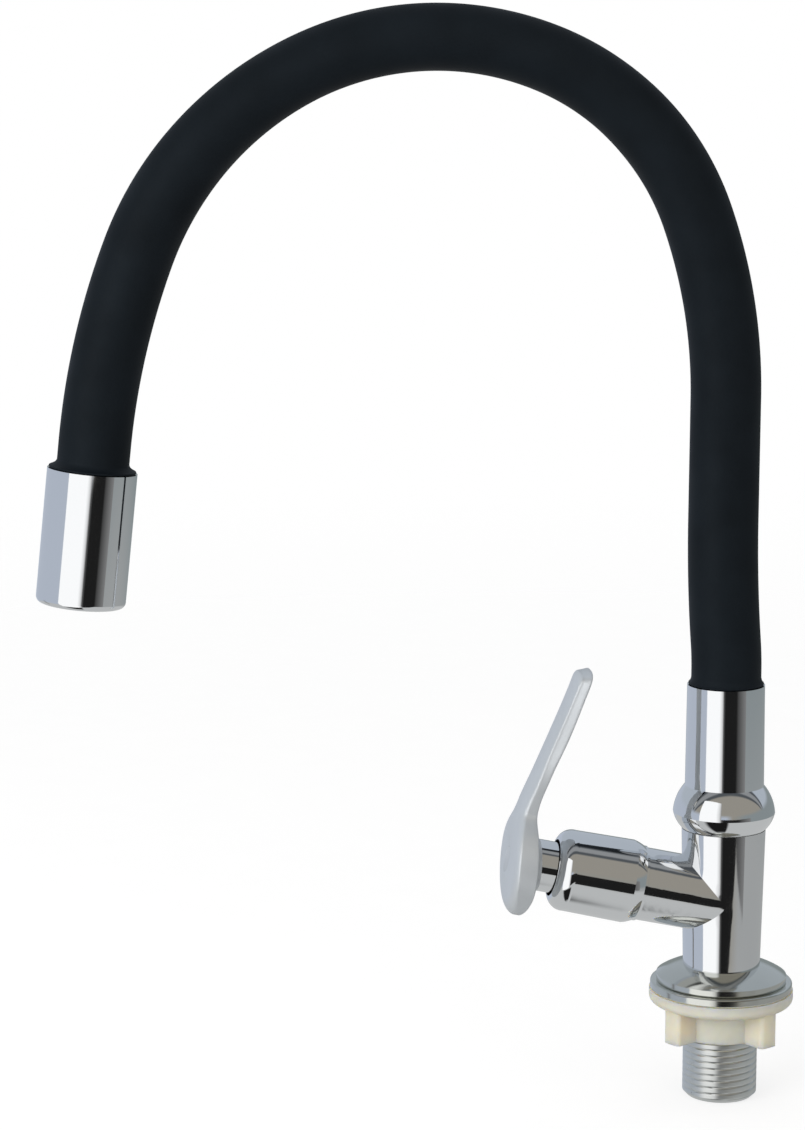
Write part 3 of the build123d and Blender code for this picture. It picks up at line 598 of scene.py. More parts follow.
def bend_travel(joint):
    """Length along the neck at which a joint lies."""
    travel = np.linspace(0.0, neck_length(), NECK_SAMPLES)
    places = neck_line(travel)[0]
    gaps = np.linalg.norm(places - np.array(JOINTS[joint]["pos_m"]), axis=1)
    return float(travel[gaps.argmin()])


def neck_tube(name, travel, radius, around):
    """A closed tube round the neck: a closed profile of lengths and radii, carried round the centre line.

    Each point is the centre plus the radius times outward by the angle's cosine and sideways by its sine.
    """
    places, tangents = neck_line(travel)
    outward = np.cross(tangents, Y_AXIS)
    angle = np.linspace(0.0, math.tau, around, endpoint=False)
    ring = outward[:, None, :] * np.cos(angle)[None, :, None] + Y_AXIS * np.sin(angle)[None, :, None]
    points = places[:, None, :] + radius[:, None, None] * ring
    return make_piece(name, [(points, grid_quads(len(travel), around, True, True))])


def build_neck(neck, prefix, node, slot, profile, start, around):
    """Builds one piece to each bend of the neck: a tube over a profile between two lengths.

    The first piece begins at start, the last ends as far beyond the outlet's rim as the first begins before
    the collar's, and they meet half way between two bends.
    """
    bends = [bend_travel(joint) for joint, first, second in NECK_BENDS]
    cuts = [(low + high) / 2 for low, high in zip(bends, bends[1:])]
    ends = [start, *cuts, neck_length() - start]
    for index, (joint, first, second) in enumerate(NECK_BENDS):
        travel, radius = profile(neck, ends[index], ends[index + 1])
        piece = neck_tube(prefix + joint, travel, radius, around)
        take_finish(piece, slot)
        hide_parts(node)
        place, tangent = neck_line(np.array([bends[index]]))
        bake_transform(piece)


def stretch(low, high, step):
    """Evenly spaced lengths between two ends, both included."""
    return np.linspace(low, high, max(2, int(round((high - low) / step)) + 1))


def sleeve_outside(travel):
    """Outer radius of the sleeve at lengths along the neck."""
    return eased_curve(SLEEVE_STATIONS[:, 0], SLEEVE_STATIONS[:, 1], travel)


def lip_profile(neck, root_radius, lip_radius):
    """Distances from the rim and radii of the sleeve's end: its tucked part, a nose and a hollow flare.

    The nose is half a circle, and the flare's height over the sleeve falls as a power of the distance.
    """
    half = (neck.lip_thickness - neck.lip_gap) / 2
    turn = np.linspace(-math.pi / 2, math.pi / 2, neck.nose_points)
    fall = np.linspace(0.0, 1.0, neck.flare_points)[1:]
    distance = np.concatenate([
        [-neck.sleeve_tuck, neck.lip_gap],
        neck.lip_gap + half + half * np.sin(turn),
        neck.lip_thickness + fall * (neck.lip_height - neck.lip_thickness),
    ])
    radius = np.concatenate([
        [neck.sleeve_radius, neck.sleeve_radius],
        lip_radius - half + half * np.cos(turn),
        root_radius + (lip_radius - half - root_radius) * (1 - fall) ** neck.flare_power,
    ])
    return distance, radius


def sleeve_profile(neck, low, high):
    """Closed profile of one piece of the sleeve: its outer wall with any lip, then its inner wall back."""
    end = neck_length()
    travel = []
    radius = []
    if low <= 0:
        distance, lip = lip_profile(neck, sleeve_outside(neck.lip_height), neck.collar_lip)
        travel.append(distance)
        radius.append(lip)
        low = neck.lip_height
    last = min(high, end - neck.lip_height)
    middle = stretch(low, last, neck.step)
    travel.append(middle)
    radius.append(sleeve_outside(middle))
    if high >= end:
        distance, lip = lip_profile(neck, sleeve_outside(end - neck.lip_height), neck.outlet_lip)
        travel.append(end - distance[::-1])
        radius.append(lip[::-1])
    travel = np.concatenate(travel)
    radius = np.concatenate(radius)
    back = stretch(travel[0], travel[-1], neck.step)[::-1]
    return np.append(travel, back), np.append(radius, sleeve_outside(back) - neck.sleeve_wall)


def tube_profile(neck, low, high):
    """Closed profile of one piece of the water tube: its outer wall, then its bore back."""
    outer = stretch(low, high, 2 * neck.step)
    return np.append(outer, outer[::-1]), np.repeat([neck.tube_radius, neck.tube_bore], len(outer))


class TAP_OT_hose_sleeve(bpy.types.Operator):
    """Builds the rubber sleeve, one piece to each bend of the neck"""

    bl_idname = "tap.hose_sleeve"
    bl_label = "Hose sleeve"

    def execute(self, context):
        neck = context.scene.tap_neck
        build_neck(
            neck, "hose_", "hose_sleeve", "black_rubber", sleeve_profile,
            start=0.0, around=neck.around,
        )
        return {"FINISHED"}


class TAP_OT_water_tube(bpy.types.Operator):
    """Builds the water tube inside the arm, one piece to each bend, with half the sleeve's points"""

    bl_idname = "tap.water_tube"
    bl_label = "Water tube"

    def execute(self, context):
        neck = context.scene.tap_neck
        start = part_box("water_tube")[0].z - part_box("swivel_collar")[1].z
        build_neck(
            neck, "tube_", "water_tube", "tube_plastic", tube_profile,
            start=start, around=neck.around // 2,
        )
        return {"FINISHED"}


# Lever handle

BRANCH_AXIS = np.array(JOINTS["lever_turn"]["axis"])
BRANCH_ORIGIN = np.array(JOINTS["lever_turn"]["pos_m"])
BRANCH_UP = np.cross(Y_AXIS, BRANCH_AXIS)

# The lever seen from the side, in millimetres by height above the branch's axis: depth of the front along
# its crest, depth of the back, how far the crest stands over the front's edges, and the extent and the drop
# of the rounding along the front's edge and along the back's edge
STATION_NAMES = ("height", "front", "back", "crown", "front_round", "front_drop", "back_round", "back_drop")
LEVER_STATIONS = dict(zip(STATION_NAMES, 0.001 * np.array((
    (-15.0, 61.0, 55.9, 0.4, 5.5, 3.0, 3.0, 1.2),
    (-8.0, 62.0, 55.3, 0.4, 4.0, 2.1, 2.5, 0.9),
    (0.0, 62.9, 55.9, 0.4, 3.0, 1.4, 2.0, 0.7),
    (8.0, 63.4, 57.0, 0.5, 2.6, 1.2, 1.6, 0.6),
    (16.0, 62.9, 58.3, 1.0, 2.0, 0.9, 1.2, 0.5),
    (26.0, 60.9, 56.8, 1.3, 1.2, 0.6, 1.0, 0.4),
    (38.0, 58.4, 54.1, 1.3, 1.1, 0.6, 1.0, 0.4),
    (50.0, 56.0, 52.1, 1.1, 1.1, 0.6, 1.0, 0.4),
    (57.0, 54.8, 51.0, 0.9, 1.6, 0.9, 1.0, 0.5),
)).T))

# How square the arm's rounded end is, where 2 is an ellipse
TIP_POWER = 2.6
# Points of the raw outline, before they are spaced evenly
OUTLINE_SAMPLES = 2001

# Radii of the lever's bores, and depths outwards along the branch's axis from the stem's end to the cap
SPINDLE_BORE = 0.00345
MOUTH_BORE = 0.00405
SCREW_BORE = 0.0016
SCREW_HEAD_BORE = 0.0029
STEM_CHAMFER = 0.0004
STEM_END = 0.0430
MOUTH_SEAT = 0.0440
HUB_BACK = 0.0550
SPINDLE_SEAT = 0.0570
SCREW_SEAT = 0.0576
CAP_SEAT = 0.0614


def bore_profile(lever):
    """Radius and depth of the hub's bore, from its back to the cap's recess."""
    return np.array((
        (SPINDLE_BORE, HUB_BACK),
        (SPINDLE_BORE, SPINDLE_SEAT),
        (SCREW_BORE, SPINDLE_SEAT),
        (SCREW_BORE, SCREW_SEAT),
        (SCREW_HEAD_BORE, SCREW_SEAT),
        (SCREW_HEAD_BORE, CAP_SEAT),
        (lever.cap_radius, CAP_SEAT),
    ))


def stem_profile(lever):
    """Radius and depth of the stem and of its bore, round from the hub's back."""
    return np.array((
        (lever.stem_radius, HUB_BACK),
        (lever.stem_radius, STEM_END + STEM_CHAMFER),
        (lever.stem_radius - STEM_CHAMFER, STEM_END),
        (MOUTH_BORE, STEM_END),
        (MOUTH_BORE, MOUTH_SEAT),
        (SPINDLE_BORE, MOUTH_SEAT),
        (SPINDLE_BORE, HUB_BACK),
    ))


def tip_share(lever, height):
    """How far into the arm's rounded end a height lies, from 0 to 1."""
    return np.clip((height - lever.reach + lever.tip_bulge) / lever.tip_bulge, 0.0, 1.0)


def lever_half_width(lever, height):
    """Half width of the lever's outline: a circle and a tapering arm, joined by a soft maximum.

    The soft maximum is half of: their sum, plus the root of their squared difference and a squared softness.
    """
    hub = np.sqrt(np.clip(lever.hub_radius**2 - height**2, 0.0, None))
    rise = np.clip(height / lever.reach, 0.0, 1.0)
    arm = lever.waist_half_width + (lever.tip_half_width - lever.waist_half_width) * rise
    past = tip_share(lever, height)
    arm = arm * (1 - past**TIP_POWER) ** (1 / TIP_POWER)
    arm = np.where(height > 0, arm, 0.0)
    softness = lever.hub_blend * np.clip(height / lever.hub_radius, 0.0, 1.0) * np.where(arm > 0, 1.0, 0.0)
    softness = softness * np.clip((lever.reach - height) / lever.reach, 0.0, 1.0)
    return (hub + arm + np.sqrt((hub - arm) ** 2 + softness**2) - softness * past) / 2


def lever_outline(lever):
    """Half of the outline, from the hub's lowest point to the tip, spaced evenly along its length."""
    turn = np.linspace(0.0, math.pi, OUTLINE_SAMPLES)
    middle = (lever.reach - lever.hub_radius) / 2
    span = (lever.reach + lever.hub_radius) / 2
    height = middle - span * np.cos(turn)
    width = lever_half_width(lever, height)
    width[[0, -1]] = 0.0
    run = np.append(0.0, np.cumsum(np.hypot(np.diff(height), np.diff(width))))
    even = np.linspace(0.0, run[-1], lever.outline_points)
    return np.interp(even, run, width), np.interp(even, run, height)


def lever_spine(lever, radius, height):
    """Points that the outline's points run in to: round a circle at the hub, then up the middle of the arm.

    Also returns the index of the last of them on the circle, which starts at its lowest point.
    """
    joined = int(np.argmax(height > lever.spine_start))
    angle = math.pi * np.arange(joined + 1) / joined
    line = np.linspace(radius, lever.reach - lever.spine_end, len(height) - joined)[1:]
    across = np.append(radius * np.sin(angle), np.zeros_like(line))
    across[joined] = 0.0
    return across, np.append(-radius * np.cos(angle), line), joined


def station(name, up):
    """A column of the lever's stations at heights along it."""
    return eased_curve(LEVER_STATIONS["height"], LEVER_STATIONS[name], up)


def edge_fall(distance, extent, depth):
    """Quarter ellipse that falls to a depth over an extent, by the distance from the edge."""
    near = np.clip(1 - distance / extent, 0.0, 1.0)
    return depth * (1 - np.sqrt(1 - near**2))


def front_depth(lever, across, up, distance):
    """Depth of the front: its curve along the lever, less the crest's fall as the square, less the edge.

    Round the index cap it eases into a flat pad.
    """
    half = lever_half_width(lever, np.clip(up, 0.0, lever.reach - lever.tip_bulge))
    crest = station("crown", up) * np.clip(np.abs(across) / half, 0.0, 1.0) ** 2
    edge = edge_fall(distance, station("front_round", up), station("front_drop", up))
    depth = station("front", up) - crest - edge
    away = np.clip((np.hypot(across, up) - lever.cap_radius) / lever.pad_run, 0.0, 1.0)
    return lever.pad_depth + (depth - lever.pad_depth) * smooth(away)


def back_depth(lever, across, up, distance):
    """Depth of the back: its curve along the lever, plus the edge, less a flare that fades from the stem."""
    away = np.hypot(across, up) - lever.stem_radius
    flare = lever.stem_flare * np.exp(-np.clip(away, 0.0, None) / lever.flare_reach)
    edge = edge_fall(distance, station("back_round", up), station("back_drop", up))
    return station("back", up) - flare + edge


def drafted(lever, width, height, inset):
    """The outline drawn in by an inset that grows smoothly along the arm."""
    grown = np.clip((height - lever.draft_start) / lever.draft_run, 0.0, 1.0)
    drawn = inset * smooth(grown)
    return np.maximum(width - drawn, 0.0), height - drawn * tip_share(lever, height)


def lever_sheet(lever, radius, depth_at, inset):
    """One face of the lever as a grid of (across, up, depth), closed round the outline.

    Each column runs straight from the spine to the outline, with its rows closer towards the outline.
    """
    width, height = lever_outline(lever)
    across, up, joined = lever_spine(lever, radius, height)
    width, height = drafted(lever, width, height, inset)
    share = 1 - (1 - np.linspace(0.0, 1.0, lever.face_rows)[:, None]) ** 2
    half_across = across + (width - across) * share
    half_up = up + (height - up) * share
    distance = np.hypot(width - across, height - up) * (1 - share)
    depth = depth_at(lever, half_across, half_up, distance)
    right = np.stack([half_across, half_up, depth], axis=2)
    left = right[:, -2:0:-1] * (-1.0, 1.0, 1.0)
    return np.concatenate([right, left], axis=1), joined


def turned(profile, turn):
    """A profile of (radius, depth) carried round the branch's axis: radius times sine and minus cosine."""
    return np.stack([
        np.outer(profile[:, 0], np.sin(turn)),
        -np.outer(profile[:, 0], np.cos(turn)),
        np.outer(profile[:, 1], np.ones(turn.shape)),
    ], axis=2)


def lever_grid(points, close_rows):
    """Places in the model and quads of a grid of (across, up, depth) that is closed round its columns."""
    places = BRANCH_ORIGIN + points @ np.stack([Y_AXIS, BRANCH_UP, BRANCH_AXIS])
    return places, grid_quads(points.shape[0], points.shape[1], close_rows, True)


class TAP_OT_lever(bpy.types.Operator):
    """Builds the lever: a round hub with a long crowned arm, on a stem that is bored for the spindle"""

    bl_idname = "tap.lever"
    bl_label = "Lever handle"

    def execute(self, context):
        lever = context.scene.tap_lever
        front, joined = lever_sheet(lever, lever.cap_radius, front_depth, lever.draft)
        back, joined = lever_sheet(lever, lever.stem_radius, back_depth, 0.0)
        share = np.linspace(0.0, 1.0, lever.flank_rows)[:, None, None]
        flank = front[-1] + (back[-1] - front[-1]) * share
        columns = front.shape[1]
        round_hub = np.append(np.arange(joined + 1), np.arange(columns - joined, columns))
        turn = np.arctan2(front[0, round_hub, 0], -front[0, round_hub, 1])
        bore = np.concatenate([back[:1, round_hub], turned(bore_profile(lever), turn), front[:1, round_hub]])
        shell = make_piece("lever_shell", [lever_grid(sheet, False) for sheet in (front, flank, back, bore)])
        stem = make_piece("lever_stem", [lever_grid(turned(stem_profile(lever), turn), True)])
        for piece, slot in ((shell, "lever_finish"), (stem, "chrome")):
            take_finish(piece, slot)
            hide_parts("lever_handle")
            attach(piece, "lever")
        dress("fixing_steel", "handle_screw")
        dress("grey_plastic", "index_cap")
        return {"FINISHED"}


# Threaded shank

def shank_grid(shank):
    """Points of the shank: its outside from the lower end up, then its shoulder, plain end and bore.

    The thread is a helix of narrow grooves. Each lies where height over pitch, less the angle as a share of
    a turn, is half way between whole numbers, and its depth eases in over its share of the pitch. The thread
    fades out at its top, and a cone cuts the chamfer at the lower end.
    """
    low, high = (corner.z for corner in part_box("threaded_shank"))
    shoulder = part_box("base_plate")[1].z
    height = stretch(low, shoulder, shank.step)
    angle = np.linspace(0.0, math.tau, shank.around, endpoint=False)
    turns = height[:, None] / shank.pitch - angle[None, :] / math.tau
    aside = np.abs(2 * (turns - np.floor(turns)) - 1)
    ridge = smooth(np.clip(aside / shank.groove_share, 0.0, 1.0))
    fade = np.clip(-height[:, None] / shank.run_out, 0.0, 1.0)
    radius = shank.crest_radius - shank.thread_depth * (1 - ridge) * fade
    radius = np.minimum(radius, shank.crest_radius - shank.chamfer + (height[:, None] - low))
    inner_heights = (shoulder, high, high, low)
    inner_radii = (shank.spigot_radius, shank.spigot_radius, shank.bore_radius, shank.bore_radius)
    height = np.append(height, inner_heights)
    radius = np.concatenate([radius, np.outer(inner_radii, np.ones(shank.around))])
    return np.stack([
        radius * np.cos(angle),
        radius * np.sin(angle),
        np.broadcast_to(height[:, None], radius.shape),
    ], axis=2)


class TAP_OT_shank(bpy.types.Operator):
    """Builds the threaded shank with a true helical thread"""

    bl_idname = "tap.shank"
    bl_label = "Threaded shank"

    def execute(self, context):
        points = shank_grid(context.scene.tap_shank)
        piece = make_piece("shank_thread", [(points, grid_quads(*points.shape[:2], True, True))])
        take_finish(piece, "shank_plating")
        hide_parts("threaded_shank")
        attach(piece, "tap_body")
        return {"FINISHED"}


# CAD nodes that keep their shape and take a finish

class TAP_OT_chrome_parts(bpy.types.Operator):
    """Finishes the chromed castings and covers"""

    bl_idname = "tap.chrome_parts"
    bl_label = "Chrome parts"

    def execute(self, context):
        dress("chrome", "tee_body", "bonnet", "swivel_collar", "outlet_sleeve")
        return {"FINISHED"}


class TAP_OT_base_parts(bpy.types.Operator):
    """Finishes the base plate, its gasket, the clamp washer and the back nut"""

    bl_idname = "tap.base_parts"
    bl_label = "Base parts"

    def execute(self, context):
        dress("polished_steel", "base_plate", "clamp_washer")
        dress("gasket_rubber", "base_gasket")
        dress("nut_plastic", "back_nut")
        return {"FINISHED"}


class TAP_OT_valve_parts(bpy.types.Operator):
    """Finishes the ceramic valve inside the branch"""

    bl_idname = "tap.valve_parts"
    bl_label = "Valve parts"

    def execute(self, context):
        dress("brass", "headwork_body", "spindle")
        dress("seal_rubber", "headwork_o_ring", "spindle_o_rings", "seat_washer", "shank_seal")
        dress("ceramic", "ceramic_disc_fixed", "ceramic_disc_turning")
        dress("white_plastic", "thrust_washer")
        dress("fixing_steel", "spindle_clip")
        return {"FINISHED"}


class TAP_OT_swivel_parts(bpy.types.Operator):
    """Finishes the swivel inside the collar"""

    bl_idname = "tap.swivel_parts"
    bl_label = "Swivel parts"

    def execute(self, context):
        dress("brass", "swivel_spigot")
        dress("seal_rubber", "spigot_o_rings")
        dress("fixing_steel", "snap_ring")
        dress("white_plastic", "glide_ring")
        return {"FINISHED"}


class TAP_OT_core_parts(bpy.types.Operator):
    """Finishes the pinned arm inside the neck"""

    bl_idname = "tap.core_parts"
    bl_label = "Core parts"

    def execute(self, context):
        dress("arm_metal", "arm_root", "arm_rise", "arm_crown", "arm_fall", "arm_tip")
        dress("fixing_steel", "rise_pins", "crown_pins", "fall_pins", "side_pins")
        return {"FINISHED"}


class TAP_OT_outlet_parts(bpy.types.Operator):
    """Finishes the outlet's fitting and its aerator"""

    bl_idname = "tap.outlet_parts"
    bl_label = "Outlet parts"

    def execute(self, context):
        dress("brass", "outlet_fitting")
        dress("seal_rubber", "aerator_seal")
        dress("white_plastic", "aerator_housing", "flow_straightener")
        dress("screen_steel", "aerator_screens")
        return {"FINISHED"}


# Stage

BLACK = (0.0, 0.0, 0.0)
WHITE = (1.0, 1.0, 1.0)
LILAC = (0.50, 0.55, 0.64)
GREEN = (0.27, 0.305, 0.315)
STONE = (0.40, 0.41, 0.41)
WARM = (0.34, 0.32, 0.28)
BLUE = (0.47, 0.52, 0.585)
PALE = (0.56, 0.57, 0.57)
SLATE = (0.30, 0.31, 0.32)
DARK = (0.09, 0.10, 0.11)
SHADE = (0.012, 0.012, 0.012)


def window(start, full, fade, end):
    """Stops of a mask that is white from full to fade, and black up to start and from end on."""
    return ((0.0, BLACK), (start, BLACK), (full, WHITE), (fade, WHITE), (end, BLACK), (1.0, BLACK))


# The room that reflections see, by shares of a full turn from behind the tap. The walls go round by the
# left, the front and the right, and the roof goes under the tap, past its front and over it
LOWER_WALL = ((0.0, LILAC), (0.48, LILAC), (0.52, WARM), (0.60, STONE), (1.0, STONE))
UPPER_WALL = ((0.0, LILAC), (0.48, LILAC), (0.52, WARM), (0.60, GREEN), (1.0, GREEN))
SHADED_SIDE = window(0.32, 0.35, 0.49, 0.505)
ROOF = (
    (0.0, PALE), (0.42, PALE), (0.53, WARM), (0.665, WARM), (0.675, DARK), (0.69, DARK), (0.70, SLATE),
    (0.73, SLATE), (0.74, DARK), (0.755, DARK), (0.77, BLUE), (1.0, BLUE),
)

# Heights in the room, from straight down at 0 to straight up at 1
WALL_HEIGHTS = window(0.30, 0.34, 0.56, 0.62)
UPPER_HEIGHTS = ((0.0, BLACK), (0.36, BLACK), (0.41, WHITE), (1.0, WHITE))
SHADED_HEIGHTS = window(0.0, 0.02, 0.20, 0.24)

# Cards that only reflections see. Each has the two ends of the line that it stands over, the heights of its
# lower corners, the height of its top, and its greys from left to right as (share of the width, grey)
LEFT_CORNER = (-0.56, -0.22)
MIDDLE_CORNER = (-0.179, -0.537)
RIGHT_CORNER = (0.283, -0.664)
FAR_CORNER = (0.52, -0.45)
CARDS = {
    "white_card": (
        LEFT_CORNER, MIDDLE_CORNER, (-0.30, -0.30), 0.55,
        ((0.0, 1.0), (0.78, 1.0), (0.92, 0.68), (1.0, 0.25)),
    ),
    "black_card": (
        MIDDLE_CORNER, RIGHT_CORNER, (-0.25, -0.18), 0.075,
        ((0.0, 0.12), (0.11, 0.014), (0.88, 0.014), (1.0, 0.045)),
    ),
    "grey_card": (RIGHT_CORNER, FAR_CORNER, (-0.18, -0.20), 0.075, ((0.0, 0.055), (1.0, 0.24))),
    "dark_strip": ((-0.69, 0.15), (-0.65, 0.20), (-0.30, -0.30), 0.0, ((0.0, 0.21), (1.0, 0.21))),
}

# Place of each lamp, and the point that it shines at
LAMPS = {
    "key": ((-0.80, -0.55, 0.28), (-0.05, 0.0, 0.10)),
    "fill": ((0.35, -0.85, 0.06), (0.0, 0.0, 0.0)),
}

# The floor's gap under the shank, its rings and the points in each, the greys of its clouds, how many of
# them there are to the metre, and the shares of its radius between which it fades out
FLOOR_GAP = 0.0002
FLOOR_RINGS = 12
FLOOR_AROUND = 96
FLOOR_GREYS = ((0.0, (0.34, 0.34, 0.34)), (1.0, (0.36, 0.36, 0.36)))
FLOOR_CLOUDS = 60.0
FLOOR_FADE = (0.25, 0.95)


def card(name, strength=1.0):
    """A card that only reflections see: an upright quad that shines in its greys times a strength."""
    first, second, lows, high, greys = CARDS[name]
    corners = ((*first, lows[0]), (*second, lows[1]), (*second, high), (*first, high))
    mesh = bpy.data.meshes.new(name)
    mesh.from_pydata(corners, [], [(0, 1, 2, 3)])
    mesh.uv_layers.new(name="card").uv.foreach_set("vector", (0, 0, 1, 0, 1, 1, 0, 1))
    made = bpy.data.objects.new(name, mesh)
    bpy.context.scene.collection.objects.link(made)
    material = bare_material(name)
    tree = material.node_tree
    place = tree.nodes.new("ShaderNodeSeparateXYZ")
    tree.links.new(tree.nodes.new("ShaderNodeTexCoord").outputs["UV"], place.inputs[0])
    tone = ramp(tree, place.outputs["X"], [(share, (strength * grey,) * 3) for share, grey in greys])
    glow = tree.nodes.new("ShaderNodeEmission")
    tree.links.new(tone, glow.inputs["Color"])
    tree.links.new(glow.outputs["Emission"], tree.nodes["Material Output"].inputs["Surface"])
    mesh.materials.append(material)
    made.visible_camera = False
    made.visible_diffuse = False
    made.visible_shadow = False
    made.visible_transmission = False


def turn_share(tree, first, second):
    """Angle whose tangent is first over minus second, as a share of a full turn from behind the tap."""
    ahead = worked(tree, "MULTIPLY", second, -1.0)
    return spread(tree, worked(tree, "ARCTAN2", first, ahead), (-math.pi, math.pi))


def build_world(studio):
    """White to the camera, even to diffuse rays, and a studio room of greys to reflections."""
    world = bpy.data.worlds.new("studio")
    bpy.context.scene.world = world
    world.use_nodes = True
    tree = world.node_tree
    path = tree.nodes.new("ShaderNodeLightPath")
    direction = tree.nodes.new("ShaderNodeSeparateXYZ")
    tree.links.new(tree.nodes.new("ShaderNodeTexCoord").outputs["Generated"], direction.inputs[0])
    x, y, z = direction.outputs
    turn = turn_share(tree, x, y)
    height = spread(tree, z, (-1.0, 1.0))
    lower = ramp(tree, turn, LOWER_WALL)
    upper = ramp(tree, turn, UPPER_WALL)
    walls = mixed(tree, ramp(tree, height, UPPER_HEIGHTS), lower, upper)
    roof = ramp(tree, turn_share(tree, z, y), ROOF)
    room = mixed(tree, ramp(tree, height, WALL_HEIGHTS), roof, walls)
    shaded = mixed(tree, ramp(tree, height, SHADED_HEIGHTS), room, SHADE)
    room = mixed(tree, ramp(tree, turn, SHADED_SIDE), room, shaded)
    lit = mixed(tree, path.outputs["Is Glossy Ray"], (studio.ambient,) * 3, room)
    seen = mixed(tree, path.outputs["Is Camera Ray"], lit, WHITE)
    tree.links.new(seen, tree.nodes["Background"].inputs["Color"])


def floor_material(studio):
    """Grey floor that takes the shadow, lifted to white for the camera, and faded out towards its rim."""
    material = bare_material("floor")
    tree = material.node_tree
    place = tree.nodes.new("ShaderNodeTexCoord").outputs["Object"]
    clouds = tree.nodes.new("ShaderNodeTexNoise")
    clouds.inputs["Scale"].default_value = FLOOR_CLOUDS
    tree.links.new(place, clouds.inputs["Vector"])
    paint = tree.nodes.new("ShaderNodeBsdfDiffuse")
    tree.links.new(ramp(tree, clouds.outputs["Fac"], FLOOR_GREYS), paint.inputs["Color"])
    path = tree.nodes.new("ShaderNodeLightPath")
    glow = tree.nodes.new("ShaderNodeEmission")
    lift = worked(tree, "MULTIPLY", path.outputs["Is Camera Ray"], studio.floor_lift)
    tree.links.new(lift, glow.inputs["Strength"])
    both = tree.nodes.new("ShaderNodeAddShader")
    tree.links.new(paint.outputs["BSDF"], both.inputs[0])
    tree.links.new(glow.outputs["Emission"], both.inputs[1])
    distance = tree.nodes.new("ShaderNodeVectorMath")
    distance.operation = "LENGTH"
    tree.links.new(place, distance.inputs[0])
    rim = [share * studio.floor_radius for share in FLOOR_FADE]
    fade = spread(tree, distance.outputs["Value"], rim, curve="SMOOTHSTEP")
    clear = tree.nodes.new("ShaderNodeBsdfTransparent")
    blend = tree.nodes.new("ShaderNodeMixShader")
    tree.links.new(fade, blend.inputs["Fac"])
    tree.links.new(both.outputs["Shader"], blend.inputs[1])
    tree.links.new(clear.outputs["BSDF"], blend.inputs[2])
    tree.links.new(blend.outputs["Shader"], tree.nodes["Material Output"].inputs["Surface"])
    return material


def build_floor(studio):
    """A round floor under the shank's lower end: a disc of rings."""
    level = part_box("threaded_shank")[0].z - FLOOR_GAP
    rings = np.linspace(0.0, studio.floor_radius, FLOOR_RINGS)
    angle = np.linspace(0.0, math.tau, FLOOR_AROUND, endpoint=False)
    points = np.stack([
        np.outer(rings, np.cos(angle)),
        np.outer(rings, np.sin(angle)),
        np.full((FLOOR_RINGS, FLOOR_AROUND), level),
    ], axis=2)
    quads = grid_quads(FLOOR_RINGS, FLOOR_AROUND, False, True)
    mesh = bpy.data.meshes.new("floor")
    mesh.from_pydata(points.reshape(-1, 3).tolist(), [], quads.tolist())
    mesh.materials.append(floor_material(studio))
    floor = bpy.data.objects.new("floor", mesh)
    floor.visible_glossy = False
    bpy.context.scene.collection.objects.link(floor)


def build_camera(studio):
    """The camera at the photograph's viewing angle."""
    azimuth = studio.camera_azimuth
    pitch = studio.camera_pitch
    back = Vector((
        math.sin(azimuth) * math.cos(pitch),
        -math.cos(azimuth) * math.cos(pitch),
        math.sin(pitch),
    ))
    camera = bpy.data.objects.new("camera", bpy.data.cameras.new("camera"))
    bpy.context.scene.collection.objects.link(camera)
    camera.data.lens = studio.lens
    camera.data.sensor_width = studio.sensor
    camera.location = studio.camera_place
    camera.rotation_mode = "QUATERNION"
    camera.rotation_quaternion = (-back).to_track_quat("-Z", "Y")
    bpy.context.scene.camera = camera


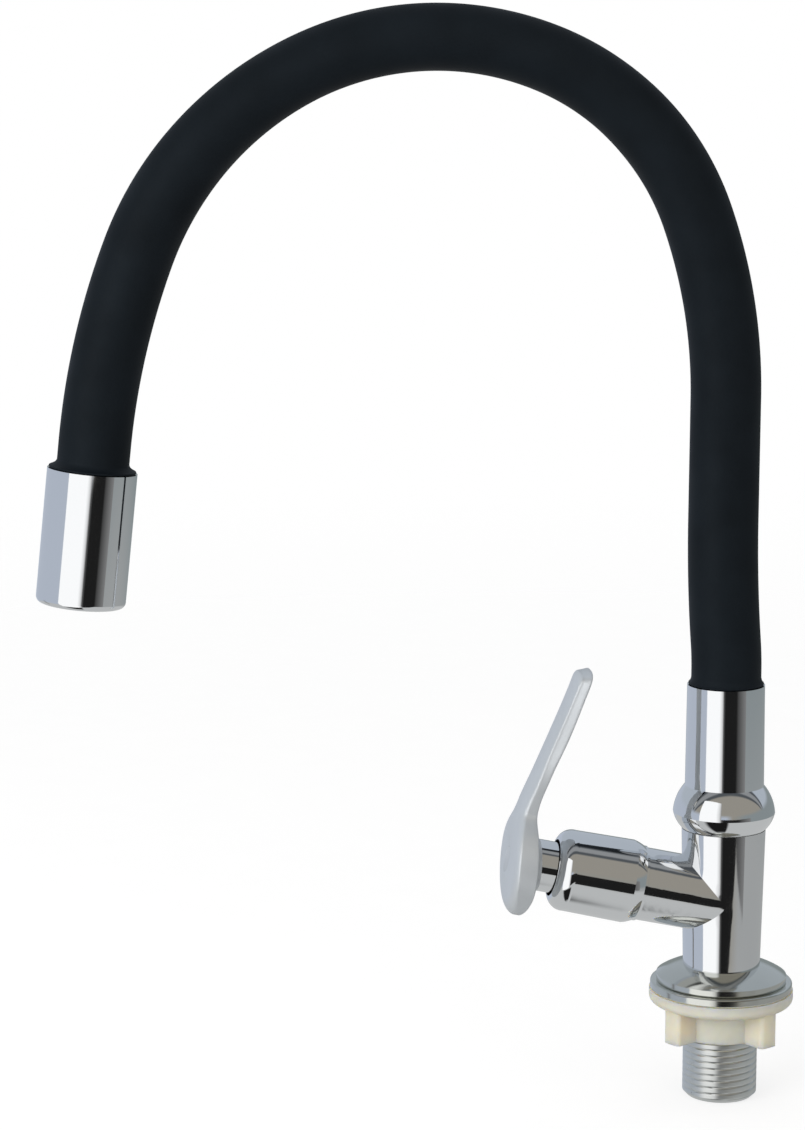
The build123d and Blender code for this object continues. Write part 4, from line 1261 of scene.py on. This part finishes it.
def build_lamp(name, power, size):
    """A wide soft lamp that reflections don't see."""
    place, aim = LAMPS[name]
    lamp = bpy.data.lights.new(name, "AREA")
    lamp.energy = power
    lamp.size = size
    made = bpy.data.objects.new(name, lamp)
    made.location = place
    made.rotation_mode = "QUATERNION"
    made.rotation_quaternion = (Vector(aim) - made.location).to_track_quat("-Z", "Y")
    made.visible_glossy = False
    bpy.context.scene.collection.objects.link(made)


class TAP_OT_stage(bpy.types.Operator):
    """Builds the floor, the light and the camera"""

    bl_idname = "tap.stage"
    bl_label = "Stage"

    def execute(self, context):
        studio = context.scene.tap_studio
        context.scene.view_settings.view_transform = "Standard"
        build_world(studio)
        build_floor(studio)
        build_camera(studio)
        build_lamp("key", studio.key_power, studio.lamp_size)
        build_lamp("fill", studio.fill_power, studio.lamp_size)
        card("white_card", studio.white_card)
        for name in ("black_card", "grey_card", "dark_strip"):
            card(name)
        return {"FINISHED"}


OPERATORS = (
    TAP_OT_hose_sleeve,
    TAP_OT_water_tube,
    TAP_OT_lever,
    TAP_OT_shank,
    TAP_OT_chrome_parts,
    TAP_OT_base_parts,
    TAP_OT_valve_parts,
    TAP_OT_swivel_parts,
    TAP_OT_core_parts,
    TAP_OT_outlet_parts,
    TAP_OT_stage,
)


class TAP_PT_parts(bpy.types.Panel):
    """Lists the steps that build the tap"""

    bl_label = "Flexible Spout Tap"
    bl_idname = "TAP_PT_parts"
    bl_space_type = "VIEW_3D"
    bl_region_type = "UI"
    bl_category = "Tap"

    def draw(self, context):
        for operator in OPERATORS:
            self.layout.operator(operator.bl_idname)
        for name in SETTINGS:
            box = self.layout.box()
            settings = getattr(context.scene, name)
            for key in settings.bl_rna.properties.keys():
                if key not in ("rna_type", "name"):
                    box.prop(settings, key)


def register():
    for name, group in SETTINGS.items():
        bpy.utils.register_class(group)
        setattr(bpy.types.Scene, name, PointerProperty(type=group))
    for operator in OPERATORS:
        bpy.utils.register_class(operator)
    bpy.utils.register_class(TAP_PT_parts)


def unregister():
    bpy.utils.unregister_class(TAP_PT_parts)
    for operator in reversed(OPERATORS):
        bpy.utils.unregister_class(operator)
    for name, group in SETTINGS.items():
        delattr(bpy.types.Scene, name)
        bpy.utils.unregister_class(group)


def main():
    """Builds every piece and the stage."""
    register()
    for operator in OPERATORS:
        step = operator.bl_idname.split(".")[1]
        getattr(bpy.ops.tap, step)()


if __name__ == "__main__":
    main()
